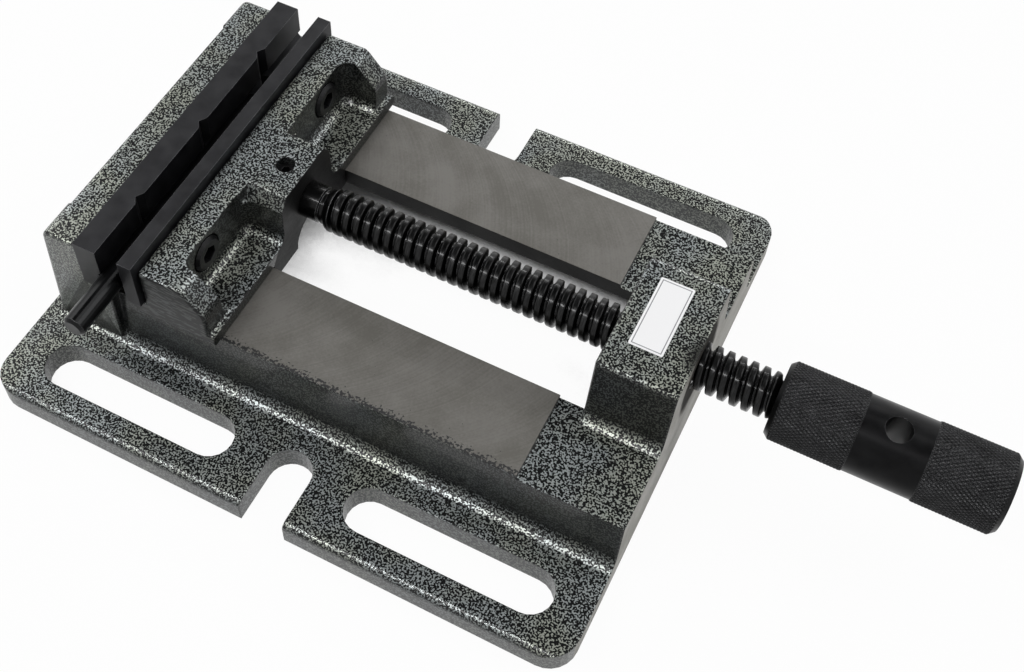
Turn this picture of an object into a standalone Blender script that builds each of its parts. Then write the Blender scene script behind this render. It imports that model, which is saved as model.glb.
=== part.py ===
"""Drill-press vise: slotted cast-iron base, sliding jaw on a lead screw, bolted steel jaw plates.

Frame: metres, +Z up, +X from the fixed jaw towards the handle, +Y across the jaws.
The origin lies on the base's underside, on the centre line, straight below the gripping
face of the fixed jaw plate.
"""
import math

import bmesh
import bpy
from mathutils import Matrix, Vector

MM = 0.001

# Fits
FIT = 0.3 * MM                  # gap between pieces that seat on or in each other
SIDE_CLEARANCE = 0.4 * MM       # tongue to rails, each side

# Base casting
BASE_LENGTH = 218.0 * MM
BASE_WIDTH = 192.0 * MM
REAR_OVERHANG = 32.4 * MM       # from the fixed plate's face back to the rear end
CORNER_RADIUS = 10.0 * MM
FLANGE_THICKNESS = 10.2 * MM
FLANGE_EDGE_RADIUS = 2.5 * MM
SLOT_WIDTH = 16.4 * MM
SLOT_LENGTH = 74.5 * MM
SLOT_END_MARGIN = 12.5 * MM     # from an end of the base to the nearest slot tip
SLOT_EDGE_MARGIN = 17.5 * MM    # from the flange's long edge in to the slots' centre line
RAIL_TOP = 35.0 * MM
RAIL_WIDTH = 114.0 * MM         # over both rails, at their top
RAIL_GAP = 48.8 * MM            # between the rails
RAIL_DRAFT = 1.6 * MM           # each side, from the rail's top to its fillet
RAIL_FILLET = 6.0 * MM
RAIL_LIP = 7.0 * MM             # thickness of the lips that the keeper plate grips
RAIL_WALL = 9.0 * MM
RAIL_GAP_START = 6.0 * MM       # from the fixed plate's face
SHOULDER_DROP = 1.8 * MM        # unmachined shoulders below the rail top
SHOULDER_LENGTH = 37.0 * MM

# Bridge that carries the screw's thread
BRIDGE_LENGTH = 28.0 * MM
BRIDGE_TOP = 59.7 * MM
BRIDGE_TOP_WIDTH = 45.6 * MM
BRIDGE_DRAFT = 3.6 * MM
BRIDGE_FILLET = 5.0 * MM
BRIDGE_EDGE = 1.4 * MM
BRIDGE_HOLLOW = 13.0 * MM       # length of the pocket cast under the bridge

# Fixed jaw
JAW_TOP = 60.0 * MM
JAW_WIDTH = 122.0 * MM
FIXED_JAW_REAR_TOP = 23.4 * MM  # behind the fixed plate's face
FIXED_JAW_REAR_FOOT = 27.2 * MM
FIXED_JAW_EDGE = 3.0 * MM
REAR_PANEL_WIDTH = 94.0 * MM
REAR_PANEL_DEPTH = 2.0 * MM
REAR_PANEL_FOOT = 16.0 * MM
JAW_HOLLOW_LENGTH = 13.0 * MM
JAW_HOLLOW_TOP = 38.0 * MM
JAW_HOLLOW_FRONT = 7.0 * MM     # behind the fixed plate's face

# Jaw plates
PLATE_WIDTH = 125.0 * MM
PLATE_TOP = 64.0 * MM
PLATE_HEIGHT = 21.0 * MM
FIXED_PLATE_THICKNESS = 8.6 * MM
MOVING_PLATE_THICKNESS = 5.2 * MM
LEDGE_SETBACK = 0.9 * MM        # castings below the plates, behind the gripping faces
BAR_GROOVE_HEIGHT = 51.4 * MM   # of the horizontal groove's centre above the underside
BAR_GROOVE_WIDTH = 3.4 * MM
BAR_GROOVE_DEPTH = 1.3 * MM
PIPE_GROOVE_WIDTH = 5.2 * MM
PIPE_GROOVE_DEPTH = 1.7 * MM
PIPE_GROOVE_SPACING = 37.2 * MM

# Moving jaw casting
MOVING_JAW_WIDTH = 121.0 * MM
MOVING_JAW_LENGTH = 26.2 * MM   # from the back of its plate to the foot's rear face
EAR_LENGTH = 24.2 * MM
EAR_TOP_LENGTH = 17.2 * MM
EAR_SHOULDER = 9.0 * MM         # height of the ears' sloping corner
POCKET_WALL = 10.8 * MM         # wall between plate and pocket
POCKET_FLOOR = 40.0 * MM
POCKET_FILLET = 4.5 * MM
EAR_THICKNESS = 8.9 * MM
BOSS_TOP_WIDTH = 24.4 * MM
BOSS_SHOULDER_WIDTH = 31.2 * MM # where its sloping sides turn upright
BOSS_SHOULDER_DROP = 5.0 * MM
POCKET_DRAFT = 0.4 * MM         # side walls of the pockets, from that shoulder down to their floor
BOSS_EDGE = 1.2 * MM
TONGUE_FRONT = 2.2 * MM         # from the back of the moving plate
ARCH_WIDTH = 18.8 * MM
ARCH_TOP = 37.4 * MM

# Plate screws: M8 socket heads
PLATE_SCREW_INSET = 24.0 * MM   # from each end of the jaw plates
PLATE_SCREW_HEIGHT = 51.0 * MM
PLATE_SCREW_DIAMETER = 8.0 * MM
PLATE_SCREW_HEAD = 13.0 * MM
PLATE_SCREW_HEAD_HEIGHT = 8.0 * MM
PLATE_SCREW_SOCKET = 6.0 * MM   # across flats
PLATE_SCREW_SOCKET_DEPTH = 4.0 * MM
PLATE_SCREW_HEAD_PROUD = 0.8 * MM
FIXED_SCREW_BITE = 5.0 * MM     # thread length inside each plate
MOVING_SCREW_BITE = 3.6 * MM

# Keeper plate and its M6 screws
KEEPER_LENGTH = 14.0 * MM       # along the rails
KEEPER_WIDTH = 80.0 * MM
KEEPER_THICKNESS = 8.0 * MM
KEEPER_SCREW_SPACING = 33.6 * MM
KEEPER_SCREW_DIAMETER = 6.0 * MM
KEEPER_SCREW_HEAD = 10.0 * MM
KEEPER_SCREW_HEAD_HEIGHT = 6.0 * MM
KEEPER_SCREW_SOCKET = 5.0 * MM
KEEPER_SCREW_SOCKET_DEPTH = 3.0 * MM
KEEPER_SCREW_BITE = 10.0 * MM
WASHER_DIAMETER = 12.0 * MM
WASHER_THICKNESS = 1.6 * MM

# Lead screw
SCREW_HEIGHT = 46.2 * MM
SCREW_DIAMETER = 16.0 * MM
SCREW_ROOT_DIAMETER = 11.5 * MM
JOURNAL_DIAMETER = 12.0 * MM
JOURNAL_DEPTH = 19.6 * MM       # of the journal inside the boss
JOURNAL_BORE_DEPTH = 20.5 * MM
JOURNAL_CHAMFER = 1.0 * MM
RETAINING_GROOVE_WIDTH = 4.0 * MM
RETAINING_GROOVE_DEPTH = 2.0 * MM
RETAINING_GROOVE_INSET = 7.7 * MM   # groove centre, in from the boss's rear face
NECK_LENGTH = 7.0 * MM          # plain, next to the boss
THREAD_PITCH = 4.0 * MM
THREAD_RUNOUT = 2.0 * MM        # length over which the thread rises from its root
SCREW_PAST_BRIDGE = 26.2 * MM   # from the bridge to the handle, at rest
THREAD_INTO_HANDLE = 2.4 * MM   # where its plain last turn ends
SPIGOT_DEPTH = 24.0 * MM        # plain end in the handle, at the thread's root diameter

# Set screw that keeps the lead screw in the moving jaw
SET_SCREW_DIAMETER = 6.0 * MM
SET_SCREW_LENGTH = 6.6 * MM
SET_SCREW_DOG_DIAMETER = 3.4 * MM
SET_SCREW_DOG_LENGTH = 2.4 * MM
SET_SCREW_SOCKET = 3.0 * MM
SET_SCREW_SOCKET_DEPTH = 3.0 * MM

# Handle
HANDLE_LENGTH = 73.5 * MM
HANDLE_DIAMETER = 26.6 * MM
HANDLE_WAIST_DIAMETER = 25.8 * MM
HANDLE_WAIST_LENGTH = 21.6 * MM
HANDLE_CHAMFER = 1.6 * MM
HANDLE_CHAMFER_LENGTH = 1.9 * MM
CROSS_HOLE_DIAMETER = 8.6 * MM
CROSS_HOLE_TILT = math.radians(6.0)

# Grooved pin, driven in from below, that keeps the handle on the lead screw
PIN_DIAMETER = 4.0 * MM
PIN_INSET = 12.0 * MM           # from the handle's inner end
PIN_SUNK = 0.6 * MM
PIN_PAST_SPIGOT = 2.0 * MM

# Tommy bar, kept in the horizontal groove between the jaws
BAR_DIAMETER = 8.0 * MM
BAR_ROOM = 0.7 * MM             # from the bar to the sliding jaw's plate, which only just holds it
BAR_LENGTH = 110.0 * MM
BAR_OVERHANG = 20.8 * MM        # beyond the near end of the jaw plates
BAR_CHAMFER = 1.0 * MM

ROUND_SIDES = 40
SMALL_SIDES = 24
THREAD_SIDES = 16

# Worked out from the values above
REAR_END = -REAR_OVERHANG
FRONT_END = BASE_LENGTH - REAR_OVERHANG
BRIDGE_BACK = FRONT_END - BRIDGE_LENGTH
SHOULDER_START = FRONT_END - SHOULDER_LENGTH
SHOULDER_TOP = RAIL_TOP - SHOULDER_DROP
LIP_BOTTOM = RAIL_TOP - RAIL_LIP
HOLLOW_WIDTH = RAIL_WIDTH - 2 * RAIL_WALL
PLATE_BOTTOM = PLATE_TOP - PLATE_HEIGHT
LEDGE_TOP = PLATE_BOTTOM - FIT
FIXED_SEAT = -FIXED_PLATE_THICKNESS - FIT
BAR_SEAT = math.sqrt((BAR_DIAMETER / 2 + FIT) ** 2 - (BAR_GROOVE_WIDTH / 2) ** 2)
MOVING_FACE = BAR_SEAT + BAR_DIAMETER / 2 + BAR_ROOM
MOVING_PLATE_BACK = MOVING_FACE + MOVING_PLATE_THICKNESS
MOVING_SEAT = MOVING_PLATE_BACK + FIT
MOVING_REAR = MOVING_SEAT + MOVING_JAW_LENGTH
MOVING_BOTTOM = RAIL_TOP + FIT
POCKET_FRONT = MOVING_SEAT + POCKET_WALL
BOSS_FOOT_WIDTH = BOSS_SHOULDER_WIDTH + 2 * POCKET_DRAFT
TONGUE_WIDTH = RAIL_GAP - 2 * SIDE_CLEARANCE
KEEPER_TOP = LIP_BOTTOM - FIT
TONGUE_BOTTOM = KEEPER_TOP + FIT
KEEPER_FRONT = MOVING_SEAT + TONGUE_FRONT
KEEPER_MIDDLE = KEEPER_FRONT + KEEPER_LENGTH / 2
SLOT_LINE = BASE_WIDTH / 2 - SLOT_EDGE_MARGIN
PLATE_SCREW_SPACING = PLATE_WIDTH - 2 * PLATE_SCREW_INSET
HANDLE_START = FRONT_END + SCREW_PAST_BRIDGE
OVERCUT = 4.0 * MM              # how far cutters reach past the surface they cut


def clear_scene():
    """Remove everything that a new Blender scene starts with."""
    for old in list(bpy.data.objects):
        bpy.data.objects.remove(old, do_unlink=True)
    for mesh in list(bpy.data.meshes):
        bpy.data.meshes.remove(mesh)


def make_material(name, colour, metallic, roughness):
    """A Principled BSDF with the piece's own colour."""
    material = bpy.data.materials.new(name)
    material.use_nodes = True
    shader = material.node_tree.nodes["Principled BSDF"]
    shader.inputs["Base Color"].default_value = (*colour, 1.0)
    shader.inputs["Metallic"].default_value = metallic
    shader.inputs["Roughness"].default_value = roughness
    material.diffuse_color = (*colour, 1.0)
    return material


def add_object(name, bm):
    """Turn a bmesh into an object, with its normals pointing out."""
    bmesh.ops.recalc_face_normals(bm, faces=bm.faces)
    mesh = bpy.data.meshes.new(name)
    bm.to_mesh(mesh)
    bm.free()
    obj = bpy.data.objects.new(name, mesh)
    bpy.context.scene.collection.objects.link(obj)
    return obj


def arc(centre, radius, start, end, steps):
    """Points on an arc, angles in degrees, both ends included."""
    points = []
    for i in range(steps + 1):
        angle = math.radians(start + (end - start) * i / steps)
        points.append((centre[0] + radius * math.cos(angle), centre[1] + radius * math.sin(angle)))
    return points


def mirrored(half):
    """Close a half outline by its mirror image across u = 0."""
    return half + [(-u, v) for u, v in reversed(half)]


def place(axis, u, v, w):
    """A point from outline coordinates u, v and the height w along an axis."""
    if axis == "X":
        return (w, u, v)
    if axis == "Y":
        return (u, w, v)
    return (u, v, w)


def loft(name, axis, sections):
    """A closed solid through sections (height, outline) that have equally many points."""
    bm = bmesh.new()
    rings = [[bm.verts.new(place(axis, u, v, w)) for u, v in outline] for w, outline in sections]
    count = len(rings[0])
    for lower, upper in zip(rings, rings[1:]):
        for i in range(count):
            j = (i + 1) % count
            bm.faces.new((lower[i], lower[j], upper[j], upper[i]))
    bm.faces.new(rings[0])
    bm.faces.new(rings[-1])
    return add_object(name, bm)


def prism(name, axis, outline, start, end):
    """An outline extruded along an axis."""
    return loft(name, axis, [(start, outline), (end, outline)])


def block(name, low, high):
    """A box between two corners."""
    outline = [(low[0], low[1]), (high[0], low[1]), (high[0], high[1]), (low[0], high[1])]
    return prism(name, "Z", outline, low[2], high[2])


def turned(name, profile, sides=ROUND_SIDES):
    """A solid of revolution about +X: profile is (x, radius), from the -X end to the +X end."""
    bm = bmesh.new()
    rings = []
    for x, radius in profile:
        ring = []
        for i in range(sides):
            angle = 2 * math.pi * i / sides
            ring.append(bm.verts.new((x, radius * math.sin(angle), radius * math.cos(angle))))
        rings.append(ring)
    for left, right in zip(rings, rings[1:]):
        for i in range(sides):
            j = (i + 1) % sides
            bm.faces.new((left[i], left[j], right[j], right[i]))
    bm.faces.new(rings[0])
    bm.faces.new(rings[-1])
    return add_object(name, bm)


def add_ring(bm, x, radius):
    """Points round the X axis, counted in the sense of a right-hand turn."""
    angles = [2 * math.pi * k / THREAD_SIDES for k in range(THREAD_SIDES)]
    return [bm.verts.new((x, radius * math.cos(a), radius * math.sin(a))) for a in angles]


def join_rings(bm, left, right):
    for k in range(len(left)):
        m = (k + 1) % len(left)
        bm.faces.new((left[k], left[m], right[m], right[k]))


def add_thread(bm, start, end):
    """A right-hand trapezoidal thread about X, closed at both ends by a ring at its root.

    Each column of points is one step of the turn and a sixteenth of a pitch further on.
    The last column runs into the first one, four rows on, so the flanks form one spiral.
    The first and last turns stay at the root, where the spiral meets the rings.
    """
    columns = THREAD_SIDES
    root = SCREW_ROOT_DIAMETER / 2
    height = SCREW_DIAMETER / 2 - root
    rows_per_turn = ((0.0, 0.0), (0.34, 0.0), (0.5, 1.0), (0.84, 1.0))
    per_turn = len(rows_per_turn)
    first = start + FIT
    turns = int((end - first - THREAD_PITCH) / THREAD_PITCH)
    last_row = per_turn * turns
    thread_end = first + THREAD_PITCH * (turns + 1)
    grid = []
    for j in range(last_row + 1):
        offset, level = rows_per_turn[j % per_turn]
        row = []
        for k in range(columns):
            x = first + THREAD_PITCH * (j // per_turn + offset + k / columns)
            inside = min(x - first, thread_end - x) - THREAD_PITCH
            rise = min(max(inside / THREAD_RUNOUT, 0.0), 1.0)
            radius = root + height * level * rise
            angle = 2 * math.pi * k / columns
            row.append(bm.verts.new((x, radius * math.cos(angle), radius * math.sin(angle))))
        grid.append(row)
    for j in range(last_row):
        for k in range(columns - 1):
            bm.faces.new((grid[j][k], grid[j][k + 1], grid[j + 1][k + 1], grid[j + 1][k]))
    for j in range(last_row - per_turn):
        bm.faces.new((grid[j][-1], grid[j + per_turn][0], grid[j + per_turn + 1][0], grid[j + 1][-1]))
    left = add_ring(bm, start, root)
    right = add_ring(bm, end, root)
    for k in range(columns - 1):
        bm.faces.new((left[k], left[k + 1], grid[0][k + 1], grid[0][k]))
        bm.faces.new((grid[-1][k], grid[-1][k + 1], right[k + 1], right[k]))
    bm.faces.new([left[-1], left[0]] + [grid[j][0] for j in range(per_turn + 1)] + [grid[0][-1]])
    bm.faces.new([right[0], right[-1]] + [grid[last_row - j][-1] for j in range(per_turn + 1)] + [grid[-1][0]])
    return left, right


def turn_to(obj, direction, centre):
    """Turn a solid made along +X to another direction and move it, in its mesh."""
    turn = Vector((1, 0, 0)).rotation_difference(Vector(direction)).to_matrix().to_4x4()
    obj.data.transform(Matrix.Translation(centre) @ turn)
    return obj


def rod(name, start, end, radius, sides=SMALL_SIDES):
    """A plain round bar between two points."""
    start = Vector(start)
    axis = Vector(end) - start
    return turn_to(turned(name, [(0.0, radius), (axis.length, radius)], sides), axis.normalized(), start)


def bevelled(obj, width, segments, angle=30):
    """Round an object's edges."""
    modifier = obj.modifiers.new("rounded edges", "BEVEL")
    modifier.width = width
    modifier.segments = segments
    modifier.limit_method = "ANGLE"
    modifier.angle_limit = math.radians(angle)
    return obj


def combine(obj, other, operation):
    """Add or cut one solid, exactly, and keep the other as a hidden guide."""
    modifier = obj.modifiers.new(other.name, "BOOLEAN")
    modifier.operation = operation
    modifier.solver = "EXACT"
    modifier.object = other
    other.hide_render = True
    other.display_type = "WIRE"


def add_to(obj, *others):
    for other in others:
        combine(obj, other, "UNION")


def cut_from(obj, *others):
    for other in others:
        combine(obj, other, "DIFFERENCE")


def finish(obj, material, body=None, smooth=False):
    """Give a piece its material and shading, and hang it on its body's empty."""
    obj.data.materials.append(material)
    if smooth:
        obj.data.shade_smooth()
        obj.data.set_sharp_from_angle(angle=math.radians(35))
    if body is not None:
        obj.parent = body
        obj.matrix_parent_inverse = body.matrix_world.inverted()
    return obj


def joint_frame(name, place_at):
    """An empty on a joint's axis, which carries the pieces that move with it."""
    empty = bpy.data.objects.new(name, None)
    empty.empty_display_size = 20 * MM
    empty.location = place_at
    bpy.context.scene.collection.objects.link(empty)
    bpy.context.view_layer.update()
    return empty


def hexagon(across_flats):
    radius = across_flats / math.sqrt(3)
    return [(radius * math.cos(math.radians(60 * i)), radius * math.sin(math.radians(60 * i)))
            for i in range(6)]


def obround(centre, length, width, steps=10):
    """A slot's outline in plan, long side along X."""
    radius = width / 2
    reach = length / 2 - radius
    right = arc((centre[0] + reach, centre[1]), radius, -90, 90, steps)
    left = arc((centre[0] - reach, centre[1]), radius, 90, 270, steps)
    return right + left


def cap_screw(name, seat, direction, diameter, head, head_height, length, socket, socket_depth):
    """A socket head screw: its head's underside at seat, its shank pointing along direction."""
    chamfer = 0.08 * head
    profile = [
        (-head_height, head / 2 - chamfer), (-head_height + chamfer, head / 2), (0.0, head / 2),
        (0.0, diameter / 2), (length - chamfer, diameter / 2), (length, diameter / 2 - chamfer),
    ]
    screw = turned(name, profile, SMALL_SIDES)
    recess = prism(name + "_socket", "X", hexagon(socket), -head_height - OVERCUT, -head_height + socket_depth)
    turn_to(screw, direction, seat)
    turn_to(recess, direction, seat)
    cut_from(screw, recess)
    return screw


def base_section():
    """Cross-section of flange and rails over their full width, without the gap."""
    half_rail = RAIL_WIDTH / 2
    half_base = BASE_WIDTH / 2
    wall_foot = half_rail + RAIL_DRAFT
    fillet_centre = (wall_foot + RAIL_FILLET, FLANGE_THICKNESS + RAIL_FILLET)
    edge_centre = (half_base - FLANGE_EDGE_RADIUS, FLANGE_THICKNESS - FLANGE_EDGE_RADIUS)
    half = [(half_rail, RAIL_TOP)]
    half += arc(fillet_centre, RAIL_FILLET, 180, 270, 5)
    half += arc(edge_centre, FLANGE_EDGE_RADIUS, 90, 0, 4)
    half += [(half_base, 0.0)]
    return mirrored(half)


def rounded_plan(overreach):
    """Outline in plan of the base's rounded corners."""
    x0, x1 = REAR_END, FRONT_END
    y1 = BASE_WIDTH / 2 + overreach
    r = CORNER_RADIUS + overreach
    x0, x1 = x0 - overreach, x1 + overreach
    outline = arc((x1 - r, y1 - r), r, 0, 90, 6) + arc((x0 + r, y1 - r), r, 90, 180, 6)
    outline += arc((x0 + r, -y1 + r), r, 180, 270, 6) + arc((x1 - r, -y1 + r), r, 270, 360, 6)
    return outline


def bridge_section():
    """Cross-section of the bridge, flared at its foot."""
    top = BRIDGE_TOP_WIDTH / 2
    foot = top + BRIDGE_DRAFT
    centre = (foot + BRIDGE_FILLET, SHOULDER_TOP + BRIDGE_FILLET)
    half = [(top, BRIDGE_TOP)] + arc(centre, BRIDGE_FILLET, 180, 262, 5)
    half += [(foot + BRIDGE_FILLET, SHOULDER_TOP - OVERCUT)]
    return mirrored(half)


def ledge(name, front, back, bottom, width):
    """The step of a jaw casting on which its plate stands."""
    outline = [(front, bottom), (back, bottom), (back, LEDGE_TOP), (front, LEDGE_TOP)]
    return bevelled(prism(name, "Y", outline, -width / 2, width / 2), 0.6 * MM, 1)


def fixed_jaw_section():
    """Side view of the fixed jaw behind its plate: leaning rear face, rounded top and plate seat."""
    edge = FIXED_JAW_EDGE
    lean = math.degrees(math.atan2(FIXED_JAW_REAR_FOOT - FIXED_JAW_REAR_TOP, JAW_TOP - FLANGE_THICKNESS))
    sunk = FLANGE_THICKNESS / 2
    outline = [(-FIXED_JAW_REAR_FOOT, sunk), (-FIXED_JAW_REAR_FOOT, FLANGE_THICKNESS)]
    outline += arc((-FIXED_JAW_REAR_TOP + edge, JAW_TOP - edge), edge, 180 - lean, 90, 4)
    return outline + [(FIXED_SEAT, JAW_TOP), (FIXED_SEAT, sunk)]


def make_base(material):
    """The casting that holds the fixed jaw, the rails and the bridge."""
    base = prism("base_casting", "X", base_section(), REAR_END - OVERCUT, FRONT_END + OVERCUT)
    trim = prism("base_plan_guide", "Z", rounded_plan(0.0), -OVERCUT, PLATE_TOP + OVERCUT)
    combine(base, trim, "INTERSECT")
    half = RAIL_WIDTH
    shoulders = block("shoulder_cutter", (SHOULDER_START, -half, SHOULDER_TOP), (FRONT_END + OVERCUT, half, RAIL_TOP + OVERCUT))
    behind_jaw = block("rail_rear_cutter", (REAR_END - OVERCUT, -half, FLANGE_THICKNESS),
                       (-FIXED_JAW_REAR_FOOT, half, RAIL_TOP + OVERCUT))
    cut_from(base, shoulders, behind_jaw)

    jaw = prism("fixed_jaw_guide", "Y", fixed_jaw_section(), -JAW_WIDTH / 2, JAW_WIDTH / 2)
    bevelled(jaw, 1.2 * MM, 2, 50)
    bridge = prism("bridge_guide", "X", bridge_section(), BRIDGE_BACK, FRONT_END + OVERCUT)
    step = ledge("fixed_ledge_guide", -LEDGE_SETBACK, FIXED_SEAT - OVERCUT, FLANGE_THICKNESS / 2, JAW_WIDTH)
    bevelled(bridge, BRIDGE_EDGE, 3, 50)
    add_to(base, jaw, step, bridge)

    front = block("front_face_cutter", (FRONT_END, -BASE_WIDTH, -OVERCUT), (FRONT_END + 3 * OVERCUT, BASE_WIDTH, 2 * JAW_TOP))
    gap = block("rail_gap_cutter", (RAIL_GAP_START, -RAIL_GAP / 2, -OVERCUT), (BRIDGE_BACK, RAIL_GAP / 2, RAIL_TOP + OVERCUT))
    hollow = block("rail_hollow_cutter", (RAIL_GAP_START, -HOLLOW_WIDTH / 2, -OVERCUT), (BRIDGE_BACK, HOLLOW_WIDTH / 2, LIP_BOTTOM))
    bridge_mid = (BRIDGE_BACK + FRONT_END) / 2
    bridge_hollow = block("bridge_hollow_cutter", (bridge_mid - BRIDGE_HOLLOW / 2, -HOLLOW_WIDTH / 2, -OVERCUT),
                          (bridge_mid + BRIDGE_HOLLOW / 2, HOLLOW_WIDTH / 2, LIP_BOTTOM))
    jaw_hollow = block("jaw_hollow_cutter", (-JAW_HOLLOW_FRONT - JAW_HOLLOW_LENGTH, -HOLLOW_WIDTH / 2, -OVERCUT),
                       (-JAW_HOLLOW_FRONT, HOLLOW_WIDTH / 2, JAW_HOLLOW_TOP))
    panel = block("rear_panel_cutter", (-2 * REAR_OVERHANG, -REAR_PANEL_WIDTH / 2, REAR_PANEL_FOOT),
                  (-FIXED_JAW_REAR_TOP + REAR_PANEL_DEPTH, REAR_PANEL_WIDTH / 2, 2 * JAW_TOP))
    cut_from(base, front, gap, hollow, bridge_hollow, jaw_hollow)
    cut_slots(base)
    bore = rod("screw_bore_cutter", (BRIDGE_BACK - OVERCUT, 0, SCREW_HEIGHT), (FRONT_END + OVERCUT, 0, SCREW_HEIGHT),
               SCREW_DIAMETER / 2 + FIT, ROUND_SIDES)
    cut_from(base, panel, bore)
    for side in (-1, 1):
        cut_screw_hole(base, side, FIXED_SEAT, -1, FIXED_PLATE_SCREW_SEAT)
    return finish(base, material, smooth=True)


def cut_slots(base):
    """Two slots and a notch, open at the edge, through each flange."""
    middle = (REAR_END + FRONT_END) / 2
    rear = REAR_END + SLOT_END_MARGIN + SLOT_LENGTH / 2
    front = FRONT_END - SLOT_END_MARGIN - SLOT_LENGTH / 2
    top = FLANGE_THICKNESS + OVERCUT
    for side in (-1, 1):
        for x in (rear, front):
            cut_from(base, prism("slot_cutter", "Z", obround((x, side * SLOT_LINE), SLOT_LENGTH, SLOT_WIDTH), -OVERCUT, top))
        mouth = side * (BASE_WIDTH / 2 + OVERCUT)
        turn = 0 if side < 0 else 180
        notch = arc((middle, side * SLOT_LINE), SLOT_WIDTH / 2, turn, turn + 180, 12)
        notch += [(notch[-1][0], mouth), (notch[0][0], mouth)]
        cut_from(base, prism("notch_cutter", "Z", notch, -OVERCUT, top))


def cut_screw_hole(casting, side, seat, direction, head_seat):
    """A clearance hole and a counterbore for one plate screw; direction points to its head."""
    y = side * PLATE_SCREW_SPACING / 2
    start = (seat - direction * OVERCUT, y, PLATE_SCREW_HEIGHT)
    hole = rod("plate_screw_hole_cutter", start, (head_seat + direction * OVERCUT, y, PLATE_SCREW_HEIGHT),
               PLATE_SCREW_DIAMETER / 2 + FIT)
    head = rod("counterbore_cutter", (head_seat, y, PLATE_SCREW_HEIGHT),
               (head_seat + direction * 6 * OVERCUT, y, PLATE_SCREW_HEIGHT), PLATE_SCREW_HEAD / 2 + 2 * FIT)
    cut_from(casting, hole, head)


FIXED_PLATE_SCREW_SEAT = -FIXED_JAW_REAR_TOP + REAR_PANEL_DEPTH + PLATE_SCREW_HEAD_HEIGHT
MOVING_PLATE_SCREW_SEAT = POCKET_FRONT + PLATE_SCREW_HEAD_PROUD - PLATE_SCREW_HEAD_HEIGHT


def make_fixed_plate(material):
    """Hardened plate with one groove along it and three grooves up it."""
    plate = block("fixed_jaw_plate", (-FIXED_PLATE_THICKNESS, -PLATE_WIDTH / 2, PLATE_BOTTOM), (0.0, PLATE_WIDTH / 2, PLATE_TOP))
    slope = BAR_GROOVE_DEPTH / (BAR_GROOVE_WIDTH / 2)
    reach = BAR_GROOVE_WIDTH / 2 + OVERCUT
    long_vee = [(-BAR_GROOVE_DEPTH, BAR_GROOVE_HEIGHT), (OVERCUT * slope, BAR_GROOVE_HEIGHT - reach),
                (OVERCUT * slope, BAR_GROOVE_HEIGHT + reach)]
    cut_from(plate, prism("bar_groove_cutter", "Y", long_vee, -PLATE_WIDTH, PLATE_WIDTH))
    slope = PIPE_GROOVE_DEPTH / (PIPE_GROOVE_WIDTH / 2)
    reach = PIPE_GROOVE_WIDTH / 2 + OVERCUT
    for i in (-1, 0, 1):
        y = i * PIPE_GROOVE_SPACING
        vee = [(-PIPE_GROOVE_DEPTH, y), (OVERCUT * slope, y - reach), (OVERCUT * slope, y + reach)]
        cut_from(plate, prism("pipe_groove_cutter", "Z", vee, PLATE_BOTTOM - OVERCUT, PLATE_TOP + OVERCUT))
    cut_plate_threads(plate, -FIXED_PLATE_THICKNESS, 1, FIXED_SCREW_BITE)
    return finish(plate, material)


def cut_plate_threads(plate, back, direction, bite):
    """Blind holes for the plate screws in a plate's back."""
    for side in (-1, 1):
        y = side * PLATE_SCREW_SPACING / 2
        start = (back - direction * OVERCUT, y, PLATE_SCREW_HEIGHT)
        end = (back + direction * (bite + FIT), y, PLATE_SCREW_HEIGHT)
        cut_from(plate, rod("plate_thread_cutter", start, end, PLATE_SCREW_DIAMETER / 2 + FIT))


def make_moving_plate(material, body):
    """Plain plate on the sliding jaw."""
    plate = block("moving_jaw_plate", (MOVING_FACE, -PLATE_WIDTH / 2, PLATE_BOTTOM), (MOVING_PLATE_BACK, PLATE_WIDTH / 2, PLATE_TOP))
    cut_plate_threads(plate, MOVING_PLATE_BACK, -1, MOVING_SCREW_BITE)
    return finish(plate, material, body)


def moving_jaw_section():
    """Side view of the sliding jaw at its ears: plate seat, top, sloping corner and foot."""
    ear_rear = MOVING_SEAT + EAR_LENGTH
    shoulder = JAW_TOP - EAR_SHOULDER
    outline = [(MOVING_SEAT, MOVING_BOTTOM), (MOVING_SEAT, JAW_TOP), (MOVING_SEAT + EAR_TOP_LENGTH - 1.6 * MM, JAW_TOP),
               (MOVING_SEAT + EAR_TOP_LENGTH, JAW_TOP - 1.2 * MM), (ear_rear - 0.6 * MM, shoulder), (ear_rear, shoulder - 2 * MM),
               (ear_rear, POCKET_FLOOR), (MOVING_REAR + OVERCUT, POCKET_FLOOR), (MOVING_REAR + OVERCUT, MOVING_BOTTOM)]
    return outline


def pocket_cutter(side):
    """A pocket open to the top and the rear, its side walls drafted, its edges rounded."""
    top = JAW_TOP + 2 * OVERCUT + POCKET_FILLET
    shoulder = JAW_TOP - BOSS_SHOULDER_DROP
    draft = POCKET_DRAFT / (shoulder - POCKET_FLOOR)
    boss_low = BOSS_FOOT_WIDTH / 2
    boss_high = boss_low - draft * (top - POCKET_FLOOR)
    ear_high = MOVING_JAW_WIDTH / 2 - EAR_THICKNESS + draft * (top - JAW_TOP)
    ear_low = ear_high - draft * (top - POCKET_FLOOR)
    rear = MOVING_REAR + 3 * POCKET_FILLET

    def outline(boss, ear):
        points = [(POCKET_FRONT, side * boss), (rear, side * boss), (rear, side * ear), (POCKET_FRONT, side * ear)]
        return points if side > 0 else points[::-1]

    cutter = loft("pocket_cutter", "Z", [(POCKET_FLOOR, outline(boss_low, ear_low)), (top, outline(boss_high, ear_high))])
    return bevelled(cutter, POCKET_FILLET, 4)


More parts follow.
